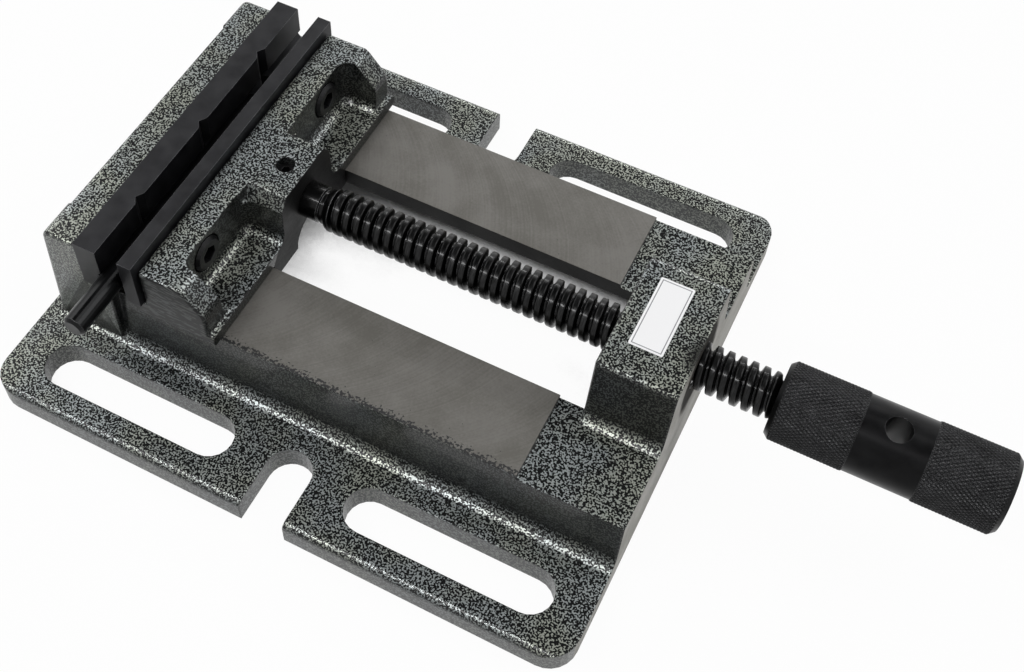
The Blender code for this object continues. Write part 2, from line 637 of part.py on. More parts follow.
def boss_slope_cutter(side):
    """What the boss loses where its side slopes back towards the top."""
    slope = (BOSS_SHOULDER_WIDTH - BOSS_TOP_WIDTH) / 2 / BOSS_SHOULDER_DROP
    low = JAW_TOP - BOSS_SHOULDER_DROP - 2 * FIT
    high = JAW_TOP + OVERCUT
    foot = BOSS_TOP_WIDTH / 2 + slope * (JAW_TOP - low)
    head = BOSS_TOP_WIDTH / 2 - slope * OVERCUT
    far = BOSS_FOOT_WIDTH / 2 + POCKET_FILLET
    outline = [(side * foot, low), (side * far, low), (side * far, high), (side * head, high)]
    return prism("boss_slope_cutter", "X", outline, POCKET_FRONT + 2 * FIT, MOVING_REAR + 2 * OVERCUT)


def make_moving_jaw(material, body):
    """The sliding jaw: wall, ears, pockets, boss and the tongue that runs between the rails."""
    half = MOVING_JAW_WIDTH / 2
    jaw = prism("moving_jaw", "Y", moving_jaw_section(), -half, half)
    bevelled(jaw, 1.0 * MM, 2, 50)
    step = ledge("moving_ledge_guide", MOVING_FACE + LEDGE_SETBACK, MOVING_SEAT + OVERCUT, MOVING_BOTTOM, MOVING_JAW_WIDTH)
    half_boss = BOSS_FOOT_WIDTH / 2 + 1.4 * POCKET_FILLET
    boss = block("boss_guide", (MOVING_SEAT + BOSS_EDGE, -half_boss, MOVING_BOTTOM), (MOVING_REAR + 2 * OVERCUT, half_boss, JAW_TOP))
    add_to(jaw, step, bevelled(boss, BOSS_EDGE, 3))
    cut_from(jaw, pocket_cutter(-1), pocket_cutter(1), boss_slope_cutter(-1), boss_slope_cutter(1))

    tongue = block("tongue_guide", (KEEPER_FRONT, -TONGUE_WIDTH / 2, TONGUE_BOTTOM),
                   (MOVING_REAR + 3 * OVERCUT, TONGUE_WIDTH / 2, POCKET_FLOOR - BOSS_EDGE))
    add_to(jaw, tongue)
    # foot, boss and tongue are milled off in one plane
    cut_from(jaw, block("rear_face_cutter", (MOVING_REAR, -2 * half, 0), (MOVING_REAR + 4 * OVERCUT, 2 * half, 2 * JAW_TOP)))

    radius = ARCH_WIDTH / 2
    arch_outline = [(-radius, 0.0)] + arc((0.0, ARCH_TOP - radius), radius, 180, 0, 12) + [(radius, 0.0)]
    arch = prism("arch_cutter", "X", arch_outline, KEEPER_FRONT - 2 * OVERCUT, MOVING_REAR + 2 * OVERCUT)
    bore = rod("journal_bore_cutter", (MOVING_REAR - JOURNAL_BORE_DEPTH, 0, SCREW_HEIGHT), (MOVING_REAR + OVERCUT, 0, SCREW_HEIGHT),
               JOURNAL_DIAMETER / 2 + FIT)
    set_x = MOVING_REAR - RETAINING_GROOVE_INSET
    set_hole = rod("set_screw_hole_cutter", (set_x, 0, SCREW_HEIGHT), (set_x, 0, JAW_TOP + OVERCUT), SET_SCREW_DIAMETER / 2 + FIT)
    cut_from(jaw, arch, bore, set_hole)
    for side in (-1, 1):
        cut_screw_hole(jaw, side, MOVING_SEAT, 1, MOVING_PLATE_SCREW_SEAT)
        y = side * KEEPER_SCREW_SPACING / 2
        cut_from(jaw, rod("keeper_thread_cutter", (KEEPER_MIDDLE, y, TONGUE_BOTTOM - OVERCUT),
                          (KEEPER_MIDDLE, y, TONGUE_BOTTOM + KEEPER_SCREW_BITE + FIT), KEEPER_SCREW_DIAMETER / 2 + FIT))
    return finish(jaw, material, body, smooth=True)


def make_keeper(steel, screw_steel, body):
    """Plate under the rails' lips, with its two screws and washers."""
    low = (KEEPER_FRONT, -KEEPER_WIDTH / 2, KEEPER_TOP - KEEPER_THICKNESS)
    keeper = block("keeper_plate", low, (KEEPER_FRONT + KEEPER_LENGTH, KEEPER_WIDTH / 2, KEEPER_TOP))
    washer_top = low[2] - FIT
    for side, label in ((-1, "near"), (1, "far")):
        y = side * KEEPER_SCREW_SPACING / 2
        cut_from(keeper, rod("keeper_hole_cutter", (KEEPER_MIDDLE, y, low[2] - OVERCUT), (KEEPER_MIDDLE, y, KEEPER_TOP + OVERCUT),
                             KEEPER_SCREW_DIAMETER / 2 + FIT))
        washer = rod("keeper_washer_" + label, (KEEPER_MIDDLE, y, washer_top - WASHER_THICKNESS), (KEEPER_MIDDLE, y, washer_top),
                     WASHER_DIAMETER / 2)
        cut_from(washer, rod("washer_hole_cutter", (KEEPER_MIDDLE, y, washer_top - WASHER_THICKNESS - OVERCUT),
                             (KEEPER_MIDDLE, y, washer_top + OVERCUT), KEEPER_SCREW_DIAMETER / 2 + FIT))
        finish(washer, screw_steel, body, smooth=True)
        seat = washer_top - WASHER_THICKNESS - FIT
        length = TONGUE_BOTTOM + KEEPER_SCREW_BITE - seat
        screw = cap_screw("keeper_screw_" + label, (KEEPER_MIDDLE, y, seat), (0, 0, 1), KEEPER_SCREW_DIAMETER,
                          KEEPER_SCREW_HEAD, KEEPER_SCREW_HEAD_HEIGHT, length, KEEPER_SCREW_SOCKET, KEEPER_SCREW_SOCKET_DEPTH)
        finish(screw, screw_steel, body, smooth=True)
    finish(keeper, steel, body)


def make_plate_screws(material, body):
    """Two socket head screws behind each jaw plate."""
    for side, label in ((-1, "near"), (1, "far")):
        y = side * PLATE_SCREW_SPACING / 2
        seat = FIXED_PLATE_SCREW_SEAT - FIT
        length = -FIXED_PLATE_THICKNESS + FIXED_SCREW_BITE - seat
        screw = cap_screw("fixed_plate_screw_" + label, (seat, y, PLATE_SCREW_HEIGHT), (1, 0, 0), PLATE_SCREW_DIAMETER,
                          PLATE_SCREW_HEAD, PLATE_SCREW_HEAD_HEIGHT, length, PLATE_SCREW_SOCKET, PLATE_SCREW_SOCKET_DEPTH)
        finish(screw, material, smooth=True)
        seat = MOVING_PLATE_SCREW_SEAT + FIT
        length = seat - (MOVING_PLATE_BACK - MOVING_SCREW_BITE)
        screw = cap_screw("moving_plate_screw_" + label, (seat, y, PLATE_SCREW_HEIGHT), (-1, 0, 0), PLATE_SCREW_DIAMETER,
                          PLATE_SCREW_HEAD, PLATE_SCREW_HEAD_HEIGHT, length, PLATE_SCREW_SOCKET, PLATE_SCREW_SOCKET_DEPTH)
        finish(screw, material, body, smooth=True)


def make_lead_screw(material, body):
    """Journal with its retaining groove, neck, thread and the spigot for the handle."""
    start = MOVING_REAR - JOURNAL_DEPTH
    groove = MOVING_REAR - RETAINING_GROOVE_INSET
    half_groove = RETAINING_GROOVE_WIDTH / 2
    thread = MOVING_REAR + NECK_LENGTH
    thread_end = HANDLE_START + THREAD_INTO_HANDLE
    journal = JOURNAL_DIAMETER / 2
    spigot = SCREW_ROOT_DIAMETER / 2
    spigot_end = HANDLE_START + SPIGOT_DEPTH
    before = [
        (start, journal - JOURNAL_CHAMFER), (start + JOURNAL_CHAMFER, journal),
        (groove - half_groove, journal), (groove - half_groove, journal - RETAINING_GROOVE_DEPTH),
        (groove + half_groove, journal - RETAINING_GROOVE_DEPTH), (groove + half_groove, journal),
        (thread - FIT, journal),
    ]
    after = [
        (spigot_end - JOURNAL_CHAMFER, spigot), (spigot_end, spigot - JOURNAL_CHAMFER),
    ]
    bm = bmesh.new()
    rings = [add_ring(bm, x, radius) for x, radius in before]
    left, right = add_thread(bm, thread, thread_end)
    chains = (rings + [left], [right] + [add_ring(bm, x, radius) for x, radius in after])
    for chain in chains:
        for one, other in zip(chain, chain[1:]):
            join_rings(bm, one, other)
    bm.faces.new(rings[0])
    bm.faces.new(chains[1][-1])
    screw = add_object("lead_screw", bm)
    turn_to(screw, (1, 0, 0), (0, 0, SCREW_HEIGHT))
    low, high = pin_span(FIT)
    cut_from(screw, rod("screw_pin_hole_cutter", low, high, PIN_DIAMETER / 2 + FIT))
    return finish(screw, material, body, smooth=True)


def make_set_screw(material, body):
    """Dog point set screw in the boss; its point stands in the lead screw's groove."""
    x = MOVING_REAR - RETAINING_GROOVE_INSET
    point = SCREW_HEIGHT + JOURNAL_DIAMETER / 2 - RETAINING_GROOVE_DEPTH + FIT
    shoulder = point + SET_SCREW_DOG_LENGTH
    top = point + SET_SCREW_LENGTH
    profile = [(0.0, SET_SCREW_DOG_DIAMETER / 2), (shoulder - point, SET_SCREW_DOG_DIAMETER / 2),
               (shoulder - point, SET_SCREW_DIAMETER / 2), (top - point, SET_SCREW_DIAMETER / 2)]
    screw = turned("spindle_set_screw", profile, SMALL_SIDES)
    recess = prism("set_screw_socket", "X", hexagon(SET_SCREW_SOCKET), top - point - SET_SCREW_SOCKET_DEPTH, top - point + OVERCUT)
    for piece in (screw, recess):
        turn_to(piece, (0, 0, 1), (x, 0, point))
    cut_from(screw, recess)
    return finish(screw, material, body, smooth=True)


def pin_span(clearance):
    """Ends of the handle's pin or of its hole, from below up past the screw's spigot."""
    x = HANDLE_START + PIN_INSET
    low = Vector((x, 0, SCREW_HEIGHT - HANDLE_DIAMETER / 2 + PIN_SUNK - clearance))
    high = Vector((x, 0, SCREW_HEIGHT + SCREW_ROOT_DIAMETER / 2 + PIN_PAST_SPIGOT + clearance))
    return low, high


def make_pin(material, body):
    """The pin itself."""
    low, high = pin_span(0.0)
    return finish(rod("handle_pin", low, high, PIN_DIAMETER / 2), material, body, smooth=True)


def make_handle(material, body):
    """Barrel handle with a waist between its two gripping bands and a cross hole for the bar."""
    end = HANDLE_START + HANDLE_LENGTH
    middle = (HANDLE_START + end) / 2
    grip = HANDLE_DIAMETER / 2
    waist = HANDLE_WAIST_DIAMETER / 2
    half_waist = HANDLE_WAIST_LENGTH / 2
    profile = [
        (HANDLE_START, grip - HANDLE_CHAMFER), (HANDLE_START + HANDLE_CHAMFER_LENGTH, grip),
        (middle - half_waist, grip), (middle - half_waist, waist), (middle + half_waist, waist), (middle + half_waist, grip),
        (end - HANDLE_CHAMFER_LENGTH, grip), (end, grip - HANDLE_CHAMFER),
    ]
    handle = turned("handle", profile, 48)
    turn_to(handle, (1, 0, 0), (0, 0, SCREW_HEIGHT))
    bore = rod("handle_bore_cutter", (HANDLE_START - OVERCUT, 0, SCREW_HEIGHT), (HANDLE_START + SPIGOT_DEPTH + FIT, 0, SCREW_HEIGHT),
               SCREW_ROOT_DIAMETER / 2 + FIT)
    direction = Vector((0, -math.sin(CROSS_HOLE_TILT), math.cos(CROSS_HOLE_TILT)))
    centre = Vector((middle, 0, SCREW_HEIGHT))
    reach = direction * HANDLE_DIAMETER
    hole = rod("cross_hole_cutter", centre - reach, centre + reach, CROSS_HOLE_DIAMETER / 2)
    low, high = pin_span(FIT)
    low.z -= OVERCUT
    pin_hole = rod("handle_pin_hole_cutter", low, high, PIN_DIAMETER / 2 + FIT)
    cut_from(handle, bore, hole, pin_hole)
    return finish(handle, material, body, smooth=True)


def make_bar(material, body):
    """Tommy bar lying in the fixed plate's long groove, held by the sliding jaw."""
    near = -PLATE_WIDTH / 2 - BAR_OVERHANG
    radius = BAR_DIAMETER / 2
    profile = [(0.0, radius - BAR_CHAMFER), (BAR_CHAMFER, radius), (BAR_LENGTH - BAR_CHAMFER, radius), (BAR_LENGTH, radius - BAR_CHAMFER)]
    bar = turned("tommy_bar", profile, SMALL_SIDES)
    turn_to(bar, (0, 1, 0), (BAR_SEAT, near, BAR_GROOVE_HEIGHT))
    return finish(bar, material, body, smooth=True)


def main():
    clear_scene()
    paint = make_material("hammertone_paint", (0.16, 0.16, 0.16), 0.2, 0.45)
    jaw_paint = make_material("hammertone_paint_jaw", (0.18, 0.18, 0.17), 0.2, 0.45)
    black_oxide = make_material("black_oxide_plate", (0.035, 0.037, 0.04), 0.7, 0.42)
    keeper_steel = make_material("keeper_steel", (0.09, 0.09, 0.09), 0.8, 0.5)
    screw_steel = make_material("fastener_steel", (0.03, 0.03, 0.032), 0.8, 0.4)
    spindle_steel = make_material("black_oxide_screw", (0.02, 0.02, 0.02), 0.8, 0.3)
    handle_steel = make_material("black_oxide_handle", (0.025, 0.025, 0.026), 0.8, 0.4)
    bar_steel = make_material("black_oxide_bar", (0.04, 0.04, 0.042), 0.8, 0.35)

    slide = joint_frame("jaw_slide_frame", (MOVING_SEAT, 0, RAIL_TOP))
    spindle = joint_frame("screw_turn_frame", (MOVING_REAR, 0, SCREW_HEIGHT))
    spindle.parent = slide
    spindle.matrix_parent_inverse = slide.matrix_world.inverted()
    bpy.context.view_layer.update()
    bar_frame = joint_frame("bar_slide_frame", (BAR_SEAT, 0, BAR_GROOVE_HEIGHT))

    make_base(paint)
    make_fixed_plate(black_oxide)
    make_moving_jaw(jaw_paint, slide)
    make_moving_plate(black_oxide, slide)
    make_plate_screws(screw_steel, slide)
    make_keeper(keeper_steel, screw_steel, slide)
    make_set_screw(screw_steel, slide)
    make_lead_screw(spindle_steel, spindle)
    make_handle(handle_steel, spindle)
    make_pin(screw_steel, spindle)
    make_bar(bar_steel, bar_frame)


main()
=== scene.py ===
import math

import bmesh
import bpy
from mathutils import Euler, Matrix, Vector


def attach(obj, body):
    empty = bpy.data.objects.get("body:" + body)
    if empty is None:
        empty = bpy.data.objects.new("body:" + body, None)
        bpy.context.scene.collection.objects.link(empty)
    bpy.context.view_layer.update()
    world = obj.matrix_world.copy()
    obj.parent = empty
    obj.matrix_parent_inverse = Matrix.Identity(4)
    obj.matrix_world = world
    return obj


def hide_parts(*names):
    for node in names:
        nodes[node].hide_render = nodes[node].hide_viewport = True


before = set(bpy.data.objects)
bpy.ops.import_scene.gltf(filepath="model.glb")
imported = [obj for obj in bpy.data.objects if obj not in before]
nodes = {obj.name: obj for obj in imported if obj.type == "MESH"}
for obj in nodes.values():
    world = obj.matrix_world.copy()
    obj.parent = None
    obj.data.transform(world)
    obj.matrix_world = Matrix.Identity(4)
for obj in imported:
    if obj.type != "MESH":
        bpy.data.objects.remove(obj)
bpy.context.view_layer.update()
mm = 0.001
axisHeight = 46.2 * mm  # the lead screw and the handle are cut round the same line, at this height
joinDistance = 0.002 * mm  # points of a turned piece that lie this close become one
bpy.context.scene.view_settings.view_transform = "Standard"


def linear(hexCode):
    # sRGB hex to the linear colour that the shaders want
    parts = [int(hexCode[i:i + 2], 16) / 255 for i in (1, 3, 5)]
    return (*[c / 12.92 if c <= 0.04045 else ((c + 0.055) / 1.055) ** 2.4 for c in parts], 1.0)


def fillSockets(tree, node, inputs):
    # each socket takes a value, or a link from another socket
    for key, value in dict(inputs).items():
        if isinstance(value, bpy.types.NodeSocket):
            tree.links.new(value, node.inputs[key])
        else:
            node.inputs[key].default_value = value


def addNode(tree, kind, inputs=(), **settings):
    # one node with its settings, values and links
    node = tree.nodes.new(kind)
    for name, value in settings.items():
        setattr(node, name, value)
    fillSockets(tree, node, inputs)
    return node


def newMaterial(name):
    material = bpy.data.materials.new(name)
    material.use_nodes = True
    tree = material.node_tree
    tree.nodes.clear()
    shader = addNode(tree, "ShaderNodeBsdfPrincipled")
    addNode(tree, "ShaderNodeOutputMaterial", {"Surface": shader.outputs[0]})
    return material, tree, shader


def axisDistance(tree, place, heightShare=1.0):
    # how far a place lies from the screw's line, with its height counted at this share
    away = addNode(tree, "ShaderNodeVectorMath", {
        0: place, 1: (0.0, 1.0, heightShare), 2: (0.0, 0.0, -axisHeight * heightShare)},
        operation="MULTIPLY_ADD").outputs[0]
    return addNode(tree, "ShaderNodeVectorMath", {0: away}, operation="LENGTH").outputs["Value"]


# Hammertone enamel, sprayed: aluminium flake drifts into a fine network round black pools, half a
# millimetre to a millimetre wide. The coat is glossy, so rounded edges draw thin white lines. Steep
# faces are given fewer flakes by their normal, a painted shade that darkens the sides against the tops.
hammertone = {
    "grainSize": 0.63 * mm,
    "grainDetail": 0.35,
    "stretch": (1.0, 1.0, 1.0),
    "darkShare": 0.534,
    "softness": 0.045,
    "poolCoat": "#060707",
    "flakeWarm": "#a0a49a",
    "flakeCool": "#9ca2a2",
    "driftSize": 24 * mm,
    "driftRange": (0.4, 0.6),
    "flakeMetallic": 0.65,
    "roughness": 0.36,
    "specular": 0.15,
    "coatWeight": 0.45,
    "coatRoughness": 0.13,
    "coatIor": 1.4,
    "hammerDepth": 0.04 * mm,
    "flakeRelief": 0.6,
    "coatRelief": 0.18,
    "edgeRadius": 1.0 * mm,
    "steepShadeShare": 0.13,
    "shadeSteepRise": 0.25,
    "shadeFlatRise": 0.90,
    "veil": 0.0,
    "veilColour": "#6c6e6d",
    "oilPlace": (190 * mm, -6 * mm, axisHeight),
    "oilInner": 11.5 * mm,
    "oilOuter": 14.0 * mm,
    "oilRagged": 5 * mm,
    "oilShare": 0.92,
    "oilColour": "#0c0a08",
}


def makeHammertone(name, values):
    material, tree, shader = newMaterial(name)
    place = addNode(tree, "ShaderNodeTexCoord").outputs["Object"]
    drawn = addNode(tree, "ShaderNodeVectorMath", {
        0: place, 1: values["stretch"]}, operation="MULTIPLY").outputs[0]
    level = addNode(tree, "ShaderNodeTexNoise", {
        "Vector": drawn, "Scale": 1 / values["grainSize"],
        "Detail": 1.0, "Roughness": values["grainDetail"]}).outputs["Fac"]
    vein = addNode(tree, "ShaderNodeMapRange", {
        "Value": level, "From Min": values["darkShare"] - values["softness"],
        "From Max": values["darkShare"] + values["softness"]}, interpolation_type="SMOOTHSTEP").outputs[0]
    rounded = addNode(tree, "ShaderNodeBevel", {"Radius": values["edgeRadius"]}, samples=4).outputs[0]
    # painted shade: the flake share falls as the face turns steep, so the sides render darker than the tops
    rise = addNode(tree, "ShaderNodeSeparateXYZ", {0: rounded}).outputs[2]
    sideShadeFactor = addNode(tree, "ShaderNodeMapRange", {
        "Value": rise, "From Min": values["shadeSteepRise"], "From Max": values["shadeFlatRise"],
        "To Min": values["steepShadeShare"], "To Max": 1.0}).outputs[0]
    flake = addNode(tree, "ShaderNodeMath", {0: vein, 1: sideShadeFactor}, operation="MULTIPLY").outputs[0]
    drift = addNode(tree, "ShaderNodeTexNoise", {
        "Vector": place, "Scale": 1 / values["driftSize"], "Detail": 2.0}).outputs["Fac"]
    warmest, coolest = values["driftRange"]
    tint = addNode(tree, "ShaderNodeMapRange", {
        "Value": drift, "From Min": warmest, "From Max": coolest}).outputs[0]
    flakeColour = addNode(tree, "ShaderNodeMix", {
        0: tint, 6: linear(values["flakeWarm"]), 7: linear(values["flakeCool"])}, data_type="RGBA").outputs[2]
    colour = addNode(tree, "ShaderNodeMix", {
        0: flake, 6: linear(values["poolCoat"]), 7: flakeColour}, data_type="RGBA").outputs[2]
    if values["veil"]:
        colour = addNode(tree, "ShaderNodeMix", {
            0: values["veil"], 6: colour, 7: linear(values["veilColour"])}, data_type="RGBA").outputs[2]

    # oil thrown off the screw has darkened the paint where it leaves the bridge
    reach = addNode(tree, "ShaderNodeVectorMath", {
        0: place, 1: values["oilPlace"]}, operation="DISTANCE").outputs["Value"]
    ragged = addNode(tree, "ShaderNodeMath", {
        0: level, 1: -values["oilRagged"], 2: reach}, operation="MULTIPLY_ADD").outputs[0]
    wet = addNode(tree, "ShaderNodeMapRange", {
        "Value": ragged, "From Min": values["oilInner"], "From Max": values["oilOuter"],
        "To Min": values["oilShare"], "To Max": 0.0}).outputs[0]
    colour = addNode(tree, "ShaderNodeMix", {
        0: wet, 6: colour, 7: linear(values["oilColour"])}, data_type="RGBA").outputs[2]
    metallic = addNode(tree, "ShaderNodeMath", {
        0: flake, 1: values["flakeMetallic"]}, operation="MULTIPLY").outputs[0]
    relief, skin = [addNode(tree, "ShaderNodeBump", {
        "Strength": values[strength], "Distance": values["hammerDepth"],
        "Height": level, "Normal": rounded}).outputs[0] for strength in ("flakeRelief", "coatRelief")]
    fillSockets(tree, shader, {
        "Base Color": colour, "Metallic": metallic, "Normal": relief, "Coat Normal": skin,
        "Roughness": values["roughness"], "Specular IOR Level": values["specular"],
        "Coat Weight": values["coatWeight"], "Coat Roughness": values["coatRoughness"],
        "Coat IOR": values["coatIor"]})
    return material


# Grey cast iron, face milled: a warm grey with faint arcs from the cutter and a little oil staining.
# The cutter's marks are drawn as coarse as they need to be to show.
milledIron = {
    "colour": "#6e6c68",
    "darkColour": "#5b5954",
    "cutterRadius": 70 * mm,
    "feed": 0.9 * mm,
    "broadSize": 9 * mm,
    "stainSize": 14 * mm,
    "grainSize": 0.8 * mm,
    "markShare": 0.22,
    "broadShare": 0.18,
    "stainShare": 0.42,
    "grainShare": 0.18,
    "toneRange": (0.41, 0.59),
    "markDepth": 0.006 * mm,
    "relief": 0.5,
    "edgeRadius": 0.35 * mm,
    "roughness": 0.50,
    "darkRougher": 0.06,
    "lightSmoother": 0.04,
    "specular": 0.5,
    "metallic": 0.35,
    "crumbEdge": 56.5 * mm,
    "crumbWidth": 3.4 * mm,
    "crumbSize": 1.0 * mm,
    "crumbRise": (-0.18, 0.14),
    "crumbRange": (0.56, 0.60),
    "crumbColour": "#0d0e0f",
    "oilInner": 0.0,
    "oilOuter": 0.0,
    "oilRagged": 12 * mm,
    "oilRun": 0.72,
    "oilShare": 0.93,
    "oilDulls": 0.45,
    "oilColour": "#15110d",
}


def makeMilledIron(name, values):
    material, tree, shader = newMaterial(name)
    place = addNode(tree, "ShaderNodeTexCoord").outputs["Object"]
    apart = addNode(tree, "ShaderNodeSeparateXYZ", {0: place})
    square = addNode(tree, "ShaderNodeMath", {0: apart.outputs[1], 1: 2.0}, operation="POWER").outputs[0]
    inside = addNode(tree, "ShaderNodeMath", {
        0: values["cutterRadius"] ** 2, 1: square}, operation="SUBTRACT").outputs[0]
    sag = addNode(tree, "ShaderNodeMath", {0: inside}, operation="SQRT").outputs[0]
    along = addNode(tree, "ShaderNodeMath", {0: apart.outputs[0], 1: sag}, operation="SUBTRACT").outputs[0]
    arc = addNode(tree, "ShaderNodeCombineXYZ", {0: along, 1: apart.outputs[2]}).outputs[0]
    marks = addNode(tree, "ShaderNodeTexNoise", {
        "Vector": arc, "Scale": 1 / values["feed"], "Detail": 2.0, "Roughness": 0.6}).outputs["Fac"]
    broad = addNode(tree, "ShaderNodeTexNoise", {
        "Vector": arc, "Scale": 1 / values["broadSize"], "Detail": 1.0}).outputs["Fac"]
    stain = addNode(tree, "ShaderNodeTexNoise", {
        "Vector": place, "Scale": 1 / values["stainSize"], "Detail": 3.0}).outputs["Fac"]
    grain = addNode(tree, "ShaderNodeTexNoise", {
        "Vector": place, "Scale": 1 / values["grainSize"], "Detail": 2.0}).outputs["Fac"]
    total = 0.0
    for source, share in (
        (marks, "markShare"), (broad, "broadShare"), (stain, "stainShare"), (grain, "grainShare"),
    ):
        total = addNode(tree, "ShaderNodeMath", {
            0: source, 1: values[share], 2: total}, operation="MULTIPLY_ADD").outputs[0]
    darkest, lightest = values["toneRange"]
    tone = addNode(tree, "ShaderNodeMapRange", {
        "Value": total, "From Min": darkest, "From Max": lightest}).outputs[0]
    bare = addNode(tree, "ShaderNodeMix", {
        0: tone, 6: linear(values["darkColour"]), 7: linear(values["colour"])}, data_type="RGBA").outputs[2]

    # painted crumbs left along the near rail's outer edge, where the cut ran out
    away = addNode(tree, "ShaderNodeMath", {0: apart.outputs[1], 1: -1.0}, operation="MULTIPLY").outputs[0]
    inner, outer = values["crumbRise"]
    nearEdge = addNode(tree, "ShaderNodeMapRange", {
        "Value": away, "From Min": values["crumbEdge"] - values["crumbWidth"],
        "From Max": values["crumbEdge"], "To Min": inner, "To Max": outer}).outputs[0]
    crumbs = addNode(tree, "ShaderNodeTexNoise", {
        "Vector": place, "Scale": 1 / values["crumbSize"], "Detail": 2.0}).outputs["Fac"]
    edgeSum = addNode(tree, "ShaderNodeMath", {0: crumbs, 1: nearEdge}, operation="ADD").outputs[0]
    none, full = values["crumbRange"]
    painted = addNode(tree, "ShaderNodeMapRange", {
        "Value": edgeSum, "From Min": none, "From Max": full}).outputs[0]
    colour = addNode(tree, "ShaderNodeMix", {
        0: painted, 6: bare, 7: linear(values["crumbColour"])}, data_type="RGBA").outputs[2]
    rough = addNode(tree, "ShaderNodeMapRange", {
        "Value": tone, "To Min": values["roughness"] + values["darkRougher"],
        "To Max": values["roughness"] - values["lightSmoother"]}).outputs[0]
    if values["oilOuter"]:
        # old oil that crept out round the screw and ran a little way down
        radius = axisDistance(tree, place, values["oilRun"])
        creep = addNode(tree, "ShaderNodeMath", {
            0: stain, 1: -values["oilRagged"], 2: radius}, operation="MULTIPLY_ADD").outputs[0]
        wet = addNode(tree, "ShaderNodeMapRange", {
            "Value": creep, "From Min": values["oilInner"], "From Max": values["oilOuter"],
            "To Min": values["oilShare"], "To Max": 0.0}).outputs[0]
        colour = addNode(tree, "ShaderNodeMix", {
            0: wet, 6: colour, 7: linear(values["oilColour"])}, data_type="RGBA").outputs[2]
        rough = addNode(tree, "ShaderNodeMath", {
            0: wet, 1: values["oilDulls"], 2: rough}, operation="MULTIPLY_ADD").outputs[0]
    metallic = addNode(tree, "ShaderNodeMapRange", {
        "Value": painted, "To Min": values["metallic"], "To Max": 0.0}).outputs[0]
    rounded = addNode(tree, "ShaderNodeBevel", {"Radius": values["edgeRadius"]}, samples=4).outputs[0]
    bump = addNode(tree, "ShaderNodeBump", {
        "Strength": values["relief"], "Distance": values["markDepth"],
        "Height": marks, "Normal": rounded}).outputs[0]
    fillSockets(tree, shader, {
        "Base Color": colour, "Metallic": metallic, "Roughness": rough, "Normal": bump,
        "Specular IOR Level": values["specular"]})
    return material


# Steel blackened in hot salts: a thin black skin, matt where ground, grey where handling wore the edges.
# Turned pieces are drawn lighter on their highest rings, partly wear and partly painted highlight, and a film
# of oil gives them narrow bright highlights.
blackOxide = {
    "colour": "#1a1a1b",
    "wearAndSheen": "#77787a",
    "mottleSize": 6 * mm,
    "mottleRange": (0.3, 0.7),
    "patches": 0.06,
    "roughness": 0.42,
    "roughnessSpread": 0.06,
    "metallic": 0.6,
    "edgeRadius": 0.25 * mm,
    "edgeBend": (0.99, 0.86),
    "grain": 0.35 * mm,
    "film": 0.0,
    "filmRoughness": 0.14,
    "crest": 0.0,
    "crestDepth": 0.15 * mm,
    "crestWearAndSheen": 0.6,
    "streak": 0.22 * mm,
    "streakSquash": (1.0, 0.09, 0.09),
    "streakRange": (0.42, 0.66),
    "ringDepth": 0.01 * mm,
    "relief": 0.3,
}


